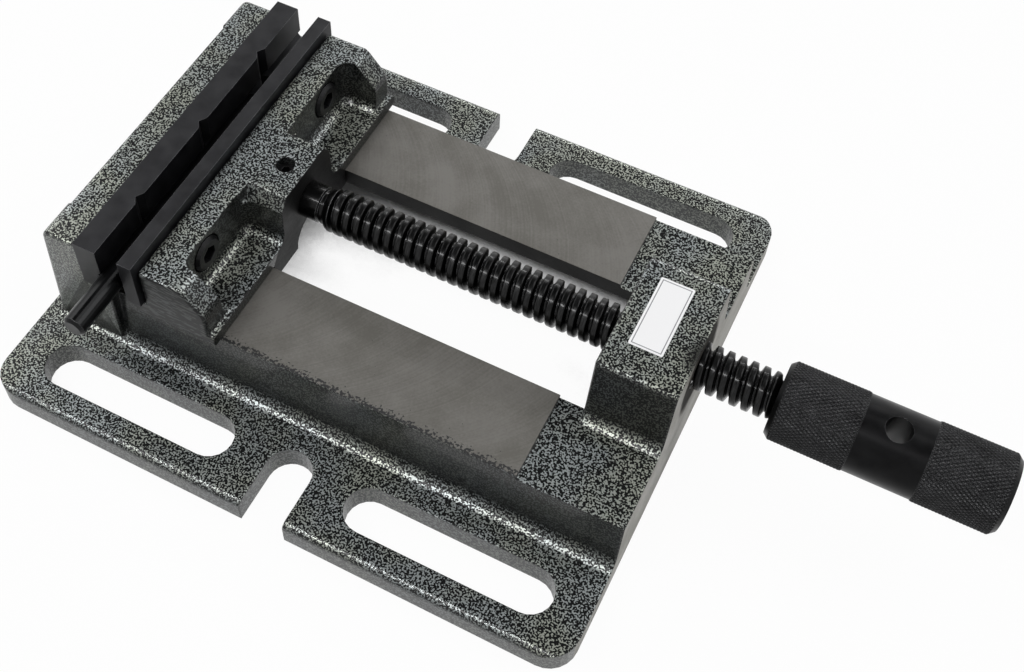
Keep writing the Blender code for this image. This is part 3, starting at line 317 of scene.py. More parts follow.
def makeBlackOxide(name, values):
    material, tree, shader = newMaterial(name)
    place = addNode(tree, "ShaderNodeTexCoord").outputs["Object"]
    mottle = addNode(tree, "ShaderNodeTexNoise", {
        "Vector": place, "Scale": 1 / values["mottleSize"], "Detail": 4.0}).outputs["Fac"]
    normal = addNode(tree, "ShaderNodeNewGeometry").outputs["Normal"]
    rounded = addNode(tree, "ShaderNodeBevel", {"Radius": values["edgeRadius"]}, samples=4).outputs[0]
    bend = addNode(tree, "ShaderNodeVectorMath", {
        0: normal, 1: rounded}, operation="DOT_PRODUCT").outputs["Value"]
    flat, sharp = values["edgeBend"]
    wear = addNode(tree, "ShaderNodeMapRange", {"Value": bend, "From Min": flat, "From Max": sharp}).outputs[0]
    share = addNode(tree, "ShaderNodeMath", {0: wear, 1: mottle}, operation="MULTIPLY").outputs[0]
    if values["crest"]:
        # streaks left by the tool run round the piece; along them the highest rings are lightened, partly as
        # rubbing and partly as painted highlight
        squeezed = addNode(tree, "ShaderNodeVectorMath", {
            0: place, 1: values["streakSquash"]}, operation="MULTIPLY").outputs[0]
        fine = addNode(tree, "ShaderNodeTexNoise", {
            "Vector": squeezed, "Scale": 1 / values["streak"], "Detail": 2.0}).outputs["Fac"]
        radius = axisDistance(tree, place)
        high = addNode(tree, "ShaderNodeMapRange", {
            "Value": radius, "From Min": values["crest"] - values["crestDepth"], "From Max": values["crest"],
            "To Max": values["crestWearAndSheen"]}).outputs[0]
        none, full = values["streakRange"]
        rubAndSheen = addNode(tree, "ShaderNodeMapRange", {
            "Value": fine, "From Min": none, "From Max": full}).outputs[0]
        streaks = addNode(tree, "ShaderNodeMath", {0: high, 1: rubAndSheen}, operation="MULTIPLY").outputs[0]
        share = addNode(tree, "ShaderNodeMath", {0: share, 1: streaks}, operation="MAXIMUM").outputs[0]
    else:
        fine = addNode(tree, "ShaderNodeTexNoise", {
            "Vector": place, "Scale": 1 / values["grain"], "Detail": 1.0}).outputs["Fac"]
    low, high = values["mottleRange"]
    tint = addNode(tree, "ShaderNodeMapRange", {
        "Value": mottle, "From Min": low, "From Max": high, "To Max": values["patches"]}).outputs[0]
    share = addNode(tree, "ShaderNodeMath", {0: share, 1: tint}, operation="ADD").outputs[0]
    mixed = addNode(tree, "ShaderNodeMix", {
        0: share, 6: linear(values["colour"]), 7: linear(values["wearAndSheen"])}, data_type="RGBA").outputs[2]
    rough = addNode(tree, "ShaderNodeMapRange", {
        "Value": mottle, "From Min": low, "From Max": high,
        "To Min": values["roughness"] - values["roughnessSpread"],
        "To Max": values["roughness"] + values["roughnessSpread"]}).outputs[0]
    bump = addNode(tree, "ShaderNodeBump", {
        "Strength": values["relief"], "Distance": values["ringDepth"],
        "Height": fine, "Normal": rounded}).outputs[0]
    fillSockets(tree, shader, {
        "Base Color": mixed, "Roughness": rough, "Normal": bump, "Coat Normal": bump,
        "Metallic": values["metallic"], "Coat Weight": values["film"],
        "Coat Roughness": values["filmRoughness"]})
    return material


hammertoneFull = makeHammertone("hammertoneEnamel", hammertone)
hammertoneThin = makeHammertone("hammertoneThinCoat", dict(
    hammertone, veil=0.6, veilColour="#505252", steepShadeShare=0.75, coatWeight=0.3, coatRoughness=0.3))
hammertoneEnd = makeHammertone("hammertoneEndCoat", dict(
    hammertone, veil=0.5, veilColour="#5f6160", steepShadeShare=1.0, coatWeight=0.3, coatRoughness=0.3))
# the sliding jaw's ends were ground before the paint, and the lines still show through it
hammertoneSide = makeHammertone("hammertoneGroundEnd", dict(
    hammertone, darkShare=0.56, coatWeight=0.2, stretch=(0.22, 0.9, 0.9)))
milledRail = makeMilledIron("milledCastIron", milledIron)
noCrumbs = dict(milledIron, crumbEdge=500 * mm)  # the edge lies beyond the piece
milledEnd = makeMilledIron("milledEndFace", dict(
    noCrumbs, colour="#b2b0aa", darkColour="#9a9891", oilInner=6.5 * mm, oilOuter=10.0 * mm,
    metallic=0.0, specular=0.12))
# painted shade: the milled tongue is drawn nearly black, standing for the unlit rear and underside of the
# sliding jaw
paintedShadeTongue = makeMilledIron("paintedShadeTongue", dict(
    noCrumbs, colour="#171717", darkColour="#101010", specular=0.15))
# painted shade: the rails' guide faces in the gap are drawn nearly black, standing for the shadow between the
# rails
shadedGuide = makeMilledIron("shadedGuideFace", dict(
    noCrumbs, colour="#0e0e0d", darkColour="#080808", metallic=0.0, specular=0.12))
plateOxide = makeBlackOxide("blackOxideGround", dict(blackOxide, colour="#18181b", roughness=0.45))
screwOxide = makeBlackOxide("blackOxideScrew", dict(
    blackOxide, colour="#0a0a0a", wearAndSheen="#9a9a9c", roughness=0.32, metallic=0.9, film=0.17, filmRoughness=0.07,
    crest=8.0 * mm, crestWearAndSheen=0.05, ringDepth=0.05 * mm, patches=0.015))
fastenerOxide = makeBlackOxide("blackOxideFastener", dict(blackOxide, colour="#0b0b0c", wearAndSheen="#5a5a5c"))
handleOxide = makeBlackOxide("blackOxideHandle", dict(
    blackOxide, colour="#080809", wearAndSheen="#8a8b8d", roughness=0.40, metallic=0.9, film=0.05, filmRoughness=0.2,
    crest=13.3 * mm, crestDepth=0.16 * mm, crestWearAndSheen=0.42, edgeRadius=0.12 * mm, patches=0.02))
barOxide = makeBlackOxide("blackOxideBar", dict(
    blackOxide, colour="#0d0e0f", roughness=0.32, metallic=0.8, film=0.08, patches=0.02))
keeperSteel = makeBlackOxide("plainSteelKeeper", dict(
    blackOxide, colour="#5b5b5a", wearAndSheen="#8a8a88", roughness=0.5))
print("materials made")


def finishFaces(name, materials, choose):
    # a CAD node keeps its mesh; each facet takes the finish that choose names for its middle and normal
    mesh = nodes[name].data
    mesh.materials.clear()
    for material in materials:
        mesh.materials.append(material)
    for face in mesh.polygons:
        face.material_index = choose(face.center / mm, face.normal)


# Places in millimetres where the castings' finishes change
castings = {
    "rearFace": 185.0,
    "railTop": 35.0,
    "flangeTop": 10.3,
    "flangeSide": 65.0,
    "guideSide": 24.4,
    "guideFoot": 20.0,
    "fixedJawBack": 2.0,
    "fixedJawFoot": 22.0,
    "fixedJawSide": 50.0,
    "tongueBack": 40.0,
    "tongueSide": 24.2,
    "movingJawFoot": 35.4,
    "movingJawSide": 60.0,
}


def baseFinish(middle, normal):
    x, y, z = middle
    if normal.x > 0.99 and x > castings["rearFace"]:
        return 2  # rear end of the base, milled
    if normal.z > 0.99 and abs(z - castings["railTop"]) < 0.1:
        return 1  # rail tops
    if abs(normal.z) < 0.3 and z < castings["flangeTop"] and abs(y) > castings["flangeSide"]:
        return 3  # flange edges and slot walls
    # the guide faces take the nearly black painted shade
    if abs(normal.y) > 0.99 and abs(abs(y) - castings["guideSide"]) < 0.2 and z > castings["guideFoot"]:
        return 4  # guide faces of the rails
    if (abs(normal.y) > 0.9 and abs(y) > castings["fixedJawSide"]
            and z > castings["fixedJawFoot"] and x < castings["fixedJawBack"]):
        return 5  # ends of the fixed jaw
    return 0


def jawFinish(middle, normal):
    x, y, z = middle
    # the tongue's rear end and sides take the nearly black painted shade
    if normal.x > 0.99 and x > castings["tongueBack"] and abs(y) < castings["tongueSide"]:
        return 1  # rear end of the tongue
    if z < castings["movingJawFoot"] and abs(normal.z) < 0.5:
        return 1  # sides of the tongue
    if abs(normal.y) > 0.9 and abs(y) > castings["movingJawSide"]:
        return 2  # ends of the sliding jaw
    return 0


finishFaces("base_casting", (
    hammertoneFull, milledRail, milledEnd, hammertoneThin, shadedGuide, hammertoneEnd), baseFinish)
finishFaces("moving_jaw", (hammertoneFull, paintedShadeTongue, hammertoneSide), jawFinish)
fasteners = [name for name in nodes if (
    "_screw_" in name or "washer" in name or name in ("spindle_set_screw", "handle_pin"))]
for names, material in (
    (("fixed_jaw_plate", "moving_jaw_plate"), plateOxide),
    (("tommy_bar",), barOxide),
    (("keeper_plate",), keeperSteel),
    (("lead_screw",), screwOxide),
    (("handle",), handleOxide),
    (fasteners, fastenerOxide),
):
    for name in names:
        finishFaces(name, (material,), lambda middle, normal: 0)
print("cast and turned pieces finished")


def growMesh(name, tree, values):
    # runs a Geometry Nodes tree once with these sizes and keeps the result as a plain mesh
    carrier = bpy.data.objects.new(name, bpy.data.meshes.new(name))
    bpy.context.scene.collection.objects.link(carrier)
    modifier = carrier.modifiers.new(name, "NODES")
    modifier.node_group = tree
    for socket in tree.interface.items_tree:
        if socket.in_out == "INPUT":
            modifier[socket.identifier] = values[socket.name]
    graph = bpy.context.evaluated_depsgraph_get()
    mesh = bpy.data.meshes.new_from_object(carrier.evaluated_get(graph), depsgraph=graph)
    carrier.modifiers.clear()
    bpy.data.objects.remove(carrier)
    return mesh


def newTree(name, sizes, counts):
    # an empty Geometry Nodes tree whose inputs are these sizes and these whole numbers
    tree = bpy.data.node_groups.new(name, "GeometryNodeTree")
    for names, kind in ((sizes, "NodeSocketFloat"), (counts, "NodeSocketInt")):
        for socket in names:
            tree.interface.new_socket(socket, in_out="INPUT", socket_type=kind)
    tree.interface.new_socket("Geometry", in_out="OUTPUT", socket_type="NodeSocketGeometry")
    return tree, addNode(tree, "NodeGroupInput").outputs


def addSheet(tree, rows, columns):
    # a flat sheet of cells, and the row and column of each of its points
    lines = addNode(tree, "ShaderNodeMath", {0: rows, 1: 1.0}, operation="ADD").outputs[0]
    stride = addNode(tree, "ShaderNodeMath", {0: columns, 1: 1.0}, operation="ADD").outputs[0]
    sheet = addNode(tree, "GeometryNodeMeshGrid", {"Vertices X": lines, "Vertices Y": stride}).outputs["Mesh"]
    index = addNode(tree, "GeometryNodeInputIndex").outputs[0]
    quotient = addNode(tree, "ShaderNodeMath", {0: index, 1: stride}, operation="DIVIDE").outputs[0]
    # the nudge keeps a rounding error from putting a row's first point in the row before
    nudged = addNode(tree, "ShaderNodeMath", {0: quotient, 1: 0.001}, operation="ADD").outputs[0]
    row = addNode(tree, "ShaderNodeMath", {0: nudged}, operation="FLOOR").outputs[0]
    past = addNode(tree, "ShaderNodeMath", {0: row, 1: stride}, operation="MULTIPLY").outputs[0]
    column = addNode(tree, "ShaderNodeMath", {0: index, 1: past}, operation="SUBTRACT").outputs[0]
    return sheet, row, column


def rollSheet(tree, sheet, along, partTurn, radius, height, material):
    # rolls the sheet round the screw's line, joins its sides and ends the tree
    angle = addNode(tree, "ShaderNodeMath", {0: partTurn, 1: math.tau}, operation="MULTIPLY").outputs[0]
    cosine = addNode(tree, "ShaderNodeMath", {0: angle}, operation="COSINE").outputs[0]
    sine = addNode(tree, "ShaderNodeMath", {0: angle}, operation="SINE").outputs[0]
    sideways = addNode(tree, "ShaderNodeMath", {0: radius, 1: cosine}, operation="MULTIPLY").outputs[0]
    upwards = addNode(tree, "ShaderNodeMath", {
        0: radius, 1: sine, 2: height}, operation="MULTIPLY_ADD").outputs[0]
    point = addNode(tree, "ShaderNodeCombineXYZ", {0: along, 1: sideways, 2: upwards}).outputs[0]
    placed = addNode(tree, "GeometryNodeSetPosition", {"Geometry": sheet, "Position": point}).outputs[0]
    closed = addNode(tree, "GeometryNodeMergeByDistance", {
        "Geometry": placed, "Distance": joinDistance}).outputs[0]
    real = addNode(tree, "GeometryNodeRealizeInstances", {"Geometry": closed}).outputs[0]
    dressed = addNode(tree, "GeometryNodeSetMaterial", {"Geometry": real, "Material": material}).outputs[0]
    addNode(tree, "NodeGroupOutput", {0: dressed})


def addRevolved(bm, profile, sides, start=None, direction=None):
    # a surface turned from (distance, radius) pairs, by default round the screw's own line
    start = start or Vector((0, 0, axisHeight))
    direction = (direction or Vector((1, 0, 0))).normalized()
    across = Vector((0, 1, 0)) if abs(direction.y) < 0.9 else Vector((0, 0, 1))
    across = (across - direction * across.dot(direction)).normalized()
    up = direction.cross(across)
    rings = []
    for distance, radius in profile:
        centre = start + direction * distance
        if radius == 0:
            rings.append([bm.verts.new(centre)] * sides)
            continue
        ring = []
        for k in range(sides):
            turn = math.tau * k / sides
            ring.append(bm.verts.new(centre + radius * (across * math.cos(turn) + up * math.sin(turn))))
        rings.append(ring)
    for low, high in zip(rings, rings[1:]):
        for k in range(sides):
            corners = [low[k - 1], low[k], high[k], high[k - 1]]
            bm.faces.new(list(dict.fromkeys(corners)))


def newPiece(name, bm, material):
    # joins coinciding rings, turns the faces outwards and puts the mesh in the scene
    bmesh.ops.remove_doubles(bm, verts=bm.verts, dist=joinDistance)
    bmesh.ops.recalc_face_normals(bm, faces=bm.faces)
    mesh = bpy.data.meshes.new(name)
    bm.to_mesh(mesh)
    bm.free()
    mesh.materials.clear()
    mesh.materials.append(material)
    piece = bpy.data.objects.new(name, mesh)
    bpy.context.scene.collection.objects.link(piece)
    return piece


def smoothFaces(piece, sharpDegrees):
    for face in piece.data.polygons:
        face.use_smooth = True
    piece.data.set_sharp_from_angle(angle=math.radians(sharpDegrees))


# Lead screw: a trapezoid thread with rounded crests, on the journal that turns in the sliding jaw. The
# flanks' places are shares of the pitch, counted from the middle of a crest.
leadScrew = {
    "Thread Start": 47.3 * mm,
    "Thread End": 214.2 * mm,
    "Pitch": 4.0 * mm,
    "Crest Radius": 8.0 * mm,
    "Root Radius": 5.75 * mm,
    "Runout": 4.5 * mm,
    "Flank Top": 0.22,
    "Flank Foot": 0.43,
    "Axis Height": axisHeight,
    "Rows Per Turn": 16,
    "Columns": 48,
}
# lengths and radii in millimetres
journalProfile = (
    (20.8, 0.0), (20.8, 5.0), (21.8, 6.0), (30.7, 6.0), (30.7, 4.0), (34.7, 4.0), (34.7, 6.0), (40.6, 6.0),
    (40.6, 6.5), (46.9, 6.5), (47.3, 5.75))
spigotProfile = ((214.2, 5.75), (234.8, 5.75), (235.8, 4.75), (235.8, 0.0))


def threadTree(material):
    tree, size = newTree("trapezoidThread", (
        "Thread Start", "Thread End", "Pitch", "Crest Radius", "Root Radius", "Runout", "Flank Top",
        "Flank Foot", "Axis Height"), ("Rows Per Turn", "Columns"))
    length = addNode(tree, "ShaderNodeMath", {
        0: size["Thread End"], 1: size["Thread Start"]}, operation="SUBTRACT").outputs[0]
    turns = addNode(tree, "ShaderNodeMath", {0: length, 1: size["Pitch"]}, operation="DIVIDE").outputs[0]
    whole = addNode(tree, "ShaderNodeMath", {0: turns}, operation="CEIL").outputs[0]
    spare = addNode(tree, "ShaderNodeMath", {0: whole, 1: 2.0}, operation="ADD").outputs[0]
    rows = addNode(tree, "ShaderNodeMath", {
        0: spare, 1: size["Rows Per Turn"]}, operation="MULTIPLY").outputs[0]

    # each row of the sheet is one line of the helix, a whole turn long
    sheet, row, column = addSheet(tree, rows, size["Columns"])
    partTurn = addNode(tree, "ShaderNodeMath", {0: column, 1: size["Columns"]}, operation="DIVIDE").outputs[0]
    turn = addNode(tree, "ShaderNodeMath", {0: row, 1: size["Rows Per Turn"]}, operation="DIVIDE").outputs[0]
    travel = addNode(tree, "ShaderNodeMath", {0: turn, 1: partTurn}, operation="ADD").outputs[0]
    early = addNode(tree, "ShaderNodeMath", {
        0: size["Thread Start"], 1: size["Pitch"]}, operation="SUBTRACT").outputs[0]
    free = addNode(tree, "ShaderNodeMath", {
        0: travel, 1: size["Pitch"], 2: early}, operation="MULTIPLY_ADD").outputs[0]
    along = addNode(tree, "ShaderNodeClamp", {
        "Value": free, "Min": size["Thread Start"], "Max": size["Thread End"]}).outputs[0]

    # height of the profile: 1 on the crest, 0 in the groove, and fading out at both ends
    phase = addNode(tree, "ShaderNodeMath", {0: turn}, operation="FRACT").outputs[0]
    centred = addNode(tree, "ShaderNodeMath", {0: phase, 1: 0.5}, operation="SUBTRACT").outputs[0]
    aside = addNode(tree, "ShaderNodeMath", {0: centred}, operation="ABSOLUTE").outputs[0]
    flank = addNode(tree, "ShaderNodeMapRange", {
        "Value": aside, "From Min": size["Flank Top"], "From Max": size["Flank Foot"],
        "To Min": 1.0, "To Max": 0.0}, interpolation_type="SMOOTHSTEP").outputs[0]
    fromStart = addNode(tree, "ShaderNodeMath", {
        0: along, 1: size["Thread Start"]}, operation="SUBTRACT").outputs[0]
    fromEnd = addNode(tree, "ShaderNodeMath", {
        0: size["Thread End"], 1: along}, operation="SUBTRACT").outputs[0]
    nearest = addNode(tree, "ShaderNodeMath", {0: fromStart, 1: fromEnd}, operation="MINIMUM").outputs[0]
    fade = addNode(tree, "ShaderNodeMath", {
        0: nearest, 1: size["Runout"]}, operation="DIVIDE", use_clamp=True).outputs[0]
    height = addNode(tree, "ShaderNodeMath", {0: flank, 1: fade}, operation="MULTIPLY").outputs[0]
    depth = addNode(tree, "ShaderNodeMath", {
        0: size["Crest Radius"], 1: size["Root Radius"]}, operation="SUBTRACT").outputs[0]
    radius = addNode(tree, "ShaderNodeMath", {
        0: height, 1: depth, 2: size["Root Radius"]}, operation="MULTIPLY_ADD").outputs[0]
    rollSheet(tree, sheet, along, partTurn, radius, size["Axis Height"], material)
    return tree


def makeLeadScrew(material):
    bm = bmesh.new()
    bm.from_mesh(growMesh("threadSheet", threadTree(material), leadScrew))
    sides = leadScrew["Columns"]
    for profile in (journalProfile, spigotProfile):
        addRevolved(bm, [(x * mm, r * mm) for x, r in profile], sides)
    screw = newPiece("turnedLeadScrew", bm, material)
    smoothFaces(screw, sharpDegrees=50)
    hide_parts("lead_screw")
    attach(screw, "spindle")


# Handle: two bands with a crossed diamond knurl, a plain waist between them, and the bar's hole
handle = {
    "start": 211.8 * mm,
    "length": 73.5 * mm,
    "waistLength": 21.6 * mm,
    "gripRadius": 13.3 * mm,
    "waistRadius": 12.9 * mm,
    "endRadius": 11.7 * mm,
    "crossHole": 8.6 * mm,
    "crossTilt": 6.0,  # degrees
    "pinHole": 4.6 * mm,
    "pinInset": 12.0 * mm,
    "pinRise": 7.9 * mm,
    "bore": 12.1 * mm,
    "boreDepth": 24.3 * mm,
    "cutOver": 2 * mm,
    "holeSides": 64,
}
knurl = {
    "Depth": 0.34 * mm,
    "Slope Share": 0.42,
    "Chamfer Slope": 0.84,
    "Diamonds Round": 64,
    "Diamonds Along": 12,
    "Samples": 6,
    "Axis Height": axisHeight,
}


def knurlTree(material):
    tree, size = newTree("diamondKnurl", (
        "Start", "Length", "Grip Radius", "First Radius", "Last Radius", "Depth", "Slope Share",
        "Chamfer Slope", "Axis Height"), ("Diamonds Round", "Diamonds Along", "Samples"))
    rows, columns = [addNode(tree, "ShaderNodeMath", {
        0: size[count], 1: size["Samples"]}, operation="MULTIPLY").outputs[0]
        for count in ("Diamonds Along", "Diamonds Round")]
    sheet, row, column = addSheet(tree, rows, columns)
    alongPart = addNode(tree, "ShaderNodeMath", {0: row, 1: rows}, operation="DIVIDE").outputs[0]
    partTurn = addNode(tree, "ShaderNodeMath", {0: column, 1: columns}, operation="DIVIDE").outputs[0]

    # two sets of V grooves, one for each hand; a point is as low as the deeper of the two
    u = addNode(tree, "ShaderNodeMath", {0: column, 1: size["Samples"]}, operation="DIVIDE").outputs[0]
    v = addNode(tree, "ShaderNodeMath", {0: row, 1: size["Samples"]}, operation="DIVIDE").outputs[0]
    walls = []
    for operation in ("ADD", "SUBTRACT"):
        mixed = addNode(tree, "ShaderNodeMath", {0: u, 1: v}, operation=operation).outputs[0]
        walls.append(addNode(tree, "ShaderNodeMath", {0: mixed, 1: 0.5}, operation="PINGPONG").outputs[0])
    lower = addNode(tree, "ShaderNodeMath", {0: walls[0], 1: walls[1]}, operation="MINIMUM").outputs[0]
    height = addNode(tree, "ShaderNodeMapRange", {"Value": lower, "From Max": size["Slope Share"]}).outputs[0]
    sunk = addNode(tree, "ShaderNodeMath", {0: 1.0, 1: height}, operation="SUBTRACT").outputs[0]
    cut = addNode(tree, "ShaderNodeMath", {0: sunk, 1: size["Depth"]}, operation="MULTIPLY").outputs[0]
    radius = addNode(tree, "ShaderNodeMath", {
        0: size["Grip Radius"], 1: cut}, operation="SUBTRACT").outputs[0]

    # the bands' ends are turned to a slope afterwards
    inward = addNode(tree, "ShaderNodeMath", {
        0: alongPart, 1: size["Length"]}, operation="MULTIPLY").outputs[0]
    remaining = addNode(tree, "ShaderNodeMath", {
        0: size["Length"], 1: inward}, operation="SUBTRACT").outputs[0]
    for distance, edge in ((inward, "First Radius"), (remaining, "Last Radius")):
        slope = addNode(tree, "ShaderNodeMath", {
            0: distance, 1: size["Chamfer Slope"], 2: size[edge]}, operation="MULTIPLY_ADD").outputs[0]
        radius = addNode(tree, "ShaderNodeMath", {0: radius, 1: slope}, operation="MINIMUM").outputs[0]
    along = addNode(tree, "ShaderNodeMath", {0: inward, 1: size["Start"]}, operation="ADD").outputs[0]
    rollSheet(tree, sheet, along, partTurn, radius, size["Axis Height"], material)
    return tree


def makeHandle(values, material):
    tree = knurlTree(material)
    band = (values["length"] - values["waistLength"]) / 2
    second = values["start"] + band + values["waistLength"]
    end = values["start"] + values["length"]
    bm = bmesh.new()
    for start, first, last in (
        (values["start"], "endRadius", "waistRadius"),
        (second, "waistRadius", "endRadius"),
    ):
        sizes = dict(knurl, **{
            "Start": start, "Length": band, "Grip Radius": values["gripRadius"],
            "First Radius": values[first], "Last Radius": values[last]})
        bm.from_mesh(growMesh("knurledBand", tree, sizes))
    sides = knurl["Diamonds Round"] * knurl["Samples"]
    for profile in (
        ((values["start"], 0.0), (values["start"], values["endRadius"])),
        ((values["start"] + band, values["waistRadius"]), (second, values["waistRadius"])),
        ((end, values["endRadius"]), (end, 0.0)),
    ):
        addRevolved(bm, profile, sides)
    piece = newPiece("knurledHandle", bm, material)

    # holes: the screw's bore, the tommy bar's cross hole and the pin's hole from below
    tilt = math.radians(values["crossTilt"])
    middle = Vector((values["start"] + values["length"] / 2, 0, axisHeight))
    acrossLine = Vector((0, -math.sin(tilt), math.cos(tilt)))
    reach = values["gripRadius"] * 1.5  # well outside the handle
    boreFoot = Vector((values["start"] - values["cutOver"], 0, axisHeight))
    pinFoot = Vector((values["start"] + values["pinInset"], 0, axisHeight - reach))
    for start, line, length, width in (
        (boreFoot, Vector((1, 0, 0)), values["boreDepth"] + values["cutOver"], values["bore"]),
        (middle - acrossLine * reach, acrossLine, 2 * reach, values["crossHole"]),
        (pinFoot, Vector((0, 0, 1)), reach + values["pinRise"], values["pinHole"]),
    ):
        cutter = bmesh.new()
        profile = ((0.0, 0.0), (0.0, width / 2), (length, width / 2), (length, 0.0))
        addRevolved(cutter, profile, values["holeSides"], start, line)
        rod = newPiece("cutter", cutter, material)
        modifier = piece.modifiers.new("hole", "BOOLEAN")
        modifier.operation = "DIFFERENCE"
        modifier.solver = "MANIFOLD"
        modifier.object = rod
        graph = bpy.context.evaluated_depsgraph_get()
        drilled = bpy.data.meshes.new_from_object(piece.evaluated_get(graph), depsgraph=graph)
        piece.modifiers.clear()
        piece.data = drilled
        bpy.data.objects.remove(rod)
    smoothFaces(piece, sharpDegrees=22)
    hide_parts("handle")
    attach(piece, "spindle")


makeLeadScrew(screwOxide)
makeHandle(handle, handleOxide)
print("lead screw and handle made")

# Sticker on the bridge: white vinyl with a thin printed frame
sticker = {
    "low": (163.9 * mm, -11.6 * mm),
    "high": (175.6 * mm, 16.6 * mm),
    "foot": 59.7 * mm,
    "thickness": 0.12 * mm,
    "corner": 0.5 * mm,
    "cornerSteps": 4,
    "frameInset": 0.9 * mm,
    "frameWidth": 0.35 * mm,
    "vinyl": "#eeeeef",
    "ink": "#8f9092",
    "roughness": 0.35,
}


def makeSticker(values):
    material, tree, shader = newMaterial("whiteVinyl")
    place = addNode(tree, "ShaderNodeTexCoord").outputs["Object"]
    middle = [(a + b) / 2 for a, b in zip(values["low"], values["high"])]
    half = [(b - a) / 2 for a, b in zip(values["low"], values["high"])]
    centred = addNode(tree, "ShaderNodeVectorMath", {
        0: place, 1: (*middle, 0.0)}, operation="SUBTRACT").outputs[0]
    folded = addNode(tree, "ShaderNodeVectorMath", {0: centred}, operation="ABSOLUTE").outputs[0]
    toEdge = addNode(tree, "ShaderNodeVectorMath", {
        0: (*half, 0.0), 1: folded}, operation="SUBTRACT").outputs[0]
    apart = addNode(tree, "ShaderNodeSeparateXYZ", {0: toEdge})
    nearest = addNode(tree, "ShaderNodeMath", {
        0: apart.outputs[0], 1: apart.outputs[1]}, operation="MINIMUM").outputs[0]
    line = addNode(tree, "ShaderNodeMath", {
        0: nearest, 1: values["frameInset"], 2: values["frameWidth"] / 2}, operation="COMPARE").outputs[0]
    colour = addNode(tree, "ShaderNodeMix", {
        0: line, 6: linear(values["vinyl"]), 7: linear(values["ink"])}, data_type="RGBA").outputs[2]
    fillSockets(tree, shader, {"Base Color": colour, "Roughness": values["roughness"]})

    bm = bmesh.new()
    outline = []
    steps = values["cornerSteps"]
    for side, (x, y) in enumerate(((1, 1), (-1, 1), (-1, -1), (1, -1))):
        for step in range(steps + 1):
            turn = math.radians(90 * (side + step / steps))
            outline.append((
                middle[0] + x * (half[0] - values["corner"]) + values["corner"] * math.cos(turn),
                middle[1] + y * (half[1] - values["corner"]) + values["corner"] * math.sin(turn)))
    heights = (values["foot"], values["foot"] + values["thickness"])
    rings = [[bm.verts.new((x, y, z)) for x, y in outline] for z in heights]
    bm.faces.new(rings[0])
    bm.faces.new(rings[1])
    for k in range(len(outline)):
        bm.faces.new((rings[0][k - 1], rings[0][k], rings[1][k], rings[1][k - 1]))
    piece = newPiece("blankSticker", bm, material)
    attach(piece, "base")


makeSticker(sticker)
print("sticker laid")

# Camera at the photographer's place
cameraValues = {
    "place": (221.73 * mm, -245.66 * mm, 431.94 * mm),
    "turn": (36.992, -1.241, 26.790),  # degrees
    "lens": 49.66,
    "sensor": 36,
    "shift": (0.0309, -0.1092),
    "nearest": 10 * mm,
}
camera = bpy.data.objects.new("camera", bpy.data.cameras.new("camera"))
camera.location = cameraValues["place"]
camera.rotation_euler = Euler([math.radians(a) for a in cameraValues["turn"]])
camera.data.lens = cameraValues["lens"]
camera.data.sensor_width = cameraValues["sensor"]
camera.data.shift_x, camera.data.shift_y = cameraValues["shift"]
camera.data.clip_start = cameraValues["nearest"]
bpy.context.scene.collection.objects.link(camera)
bpy.context.scene.camera = camera

# Studio: pale floor, two broad lamps high at the sides, a strip light in front and one behind that draw
# the highlights along the casting's rounded edges, a white backdrop all round and a darker ceiling
studio = {
    "floorHalf": 3.0,
    "floorColour": "#d6d6d6",
    "floorRoughness": 0.9,
    "whiteShare": 0.96,
    "shadeShare": 0.02,
    "shadeReach": 0.12,
    "shadeOpenness": (0.105, 0.145),
    "backdrop": "#ffffff",
    "ceiling": "#5c5c5e",
    "ceilingRise": (0.62, 0.74),
    "worldLight": 0.15,
    "lamps": (
        ("overheadRight", (0.85, 0.45, 1.30), (1.0, 1.0), 10.0),
        ("overheadLeft", (-1.20, 0.30, 1.15), (0.8, 0.8), 6.5),
        ("frontStrip", (-0.25, -0.56, 1.02), (0.95, 0.10), 8.0),
        ("rearStrip", (-0.15, 1.00, 0.62), (0.80, 0.04), 3.0),
    ),
    "aim": (0.09, 0.0, 0.03),
}


def seenRays(tree):
    # 1 for what the camera sees, also in a reflection, and 0 for light on its way to a surface
    path = addNode(tree, "ShaderNodeLightPath").outputs
    seen = path["Is Camera Ray"]
    for ray in ("Is Glossy Ray", "Is Transmission Ray"):
        seen = addNode(tree, "ShaderNodeMath", {0: seen, 1: path[ray]}, operation="MAXIMUM").outputs[0]
    return seen


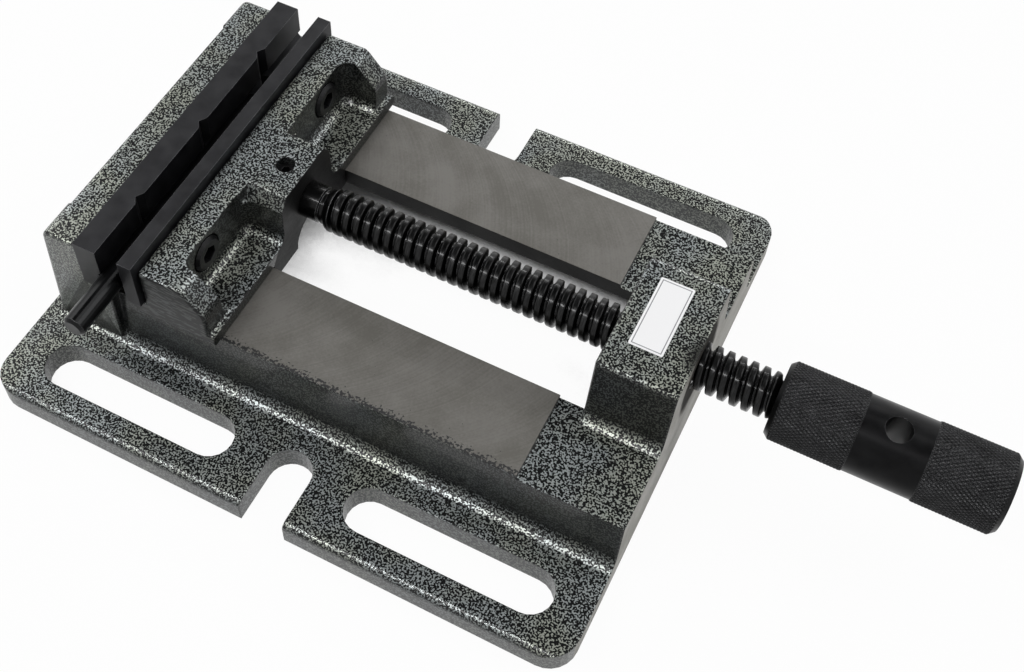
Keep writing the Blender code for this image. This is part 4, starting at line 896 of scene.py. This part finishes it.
def makeStudio(values):
    half = values["floorHalf"]
    mesh = bpy.data.meshes.new("floor")
    corners = [(-half, -half, 0), (half, -half, 0), (half, half, 0), (-half, half, 0)]
    mesh.from_pydata(corners, [], [(0, 1, 2, 3)])
    floor = bpy.data.objects.new("floor", mesh)
    bpy.context.scene.collection.objects.link(floor)
    material, tree, shader = newMaterial("paleFloor")
    fillSockets(tree, shader, {
        "Base Color": linear(values["floorColour"]), "Roughness": values["floorRoughness"]})
    glow = addNode(tree, "ShaderNodeEmission", {"Color": linear(values["backdrop"]), "Strength": 1.0})
    # the white gives way to the floor's own shadow deep under the casting
    openness = addNode(tree, "ShaderNodeAmbientOcclusion", {
        "Distance": values["shadeReach"]}, samples=32).outputs["AO"]
    darkest, brightest = values["shadeOpenness"]
    white = addNode(tree, "ShaderNodeMapRange", {
        "Value": openness, "From Min": darkest, "From Max": brightest,
        "To Min": values["shadeShare"], "To Max": values["whiteShare"]}).outputs[0]
    share = addNode(tree, "ShaderNodeMath", {0: seenRays(tree), 1: white}, operation="MULTIPLY").outputs[0]
    both = addNode(tree, "ShaderNodeMixShader", {0: share, 1: shader.outputs[0], 2: glow.outputs[0]})
    output = [n for n in tree.nodes if n.type == "OUTPUT_MATERIAL"][0]
    tree.links.new(both.outputs[0], output.inputs[0])
    mesh.materials.append(material)

    world = bpy.data.worlds.new("studio")
    bpy.context.scene.world = world
    world.use_nodes = True
    tree = world.node_tree
    tree.nodes.clear()
    strength = addNode(tree, "ShaderNodeMapRange", {
        "Value": seenRays(tree), "To Min": values["worldLight"], "To Max": 1.0}).outputs[0]
    way = addNode(tree, "ShaderNodeTexCoord").outputs["Generated"]
    rise = addNode(tree, "ShaderNodeSeparateXYZ", {0: way}).outputs[2]
    low, high = values["ceilingRise"]
    above = addNode(tree, "ShaderNodeMapRange", {"Value": rise, "From Min": low, "From Max": high}).outputs[0]
    colour = addNode(tree, "ShaderNodeMix", {
        0: above, 6: linear(values["backdrop"]), 7: linear(values["ceiling"])}, data_type="RGBA").outputs[2]
    sky = addNode(tree, "ShaderNodeBackground", {"Color": colour, "Strength": strength})
    addNode(tree, "ShaderNodeOutputWorld", {"Surface": sky.outputs[0]})

    for name, place, (long, wide), power in values["lamps"]:
        lamp = bpy.data.objects.new(name, bpy.data.lights.new(name, "AREA"))
        lamp.data.shape = "RECTANGLE"
        lamp.data.size, lamp.data.size_y = long, wide
        lamp.data.energy = power
        lamp.location = place
        target = Vector(values["aim"])
        if long > 2 * wide:
            target.x = place[0]  # a strip hangs parallel to the screw
        lamp.rotation_euler = (target - Vector(place)).to_track_quat("-Z", "Y").to_euler()
        bpy.context.scene.collection.objects.link(lamp)


makeStudio(studio)
print("studio ready")
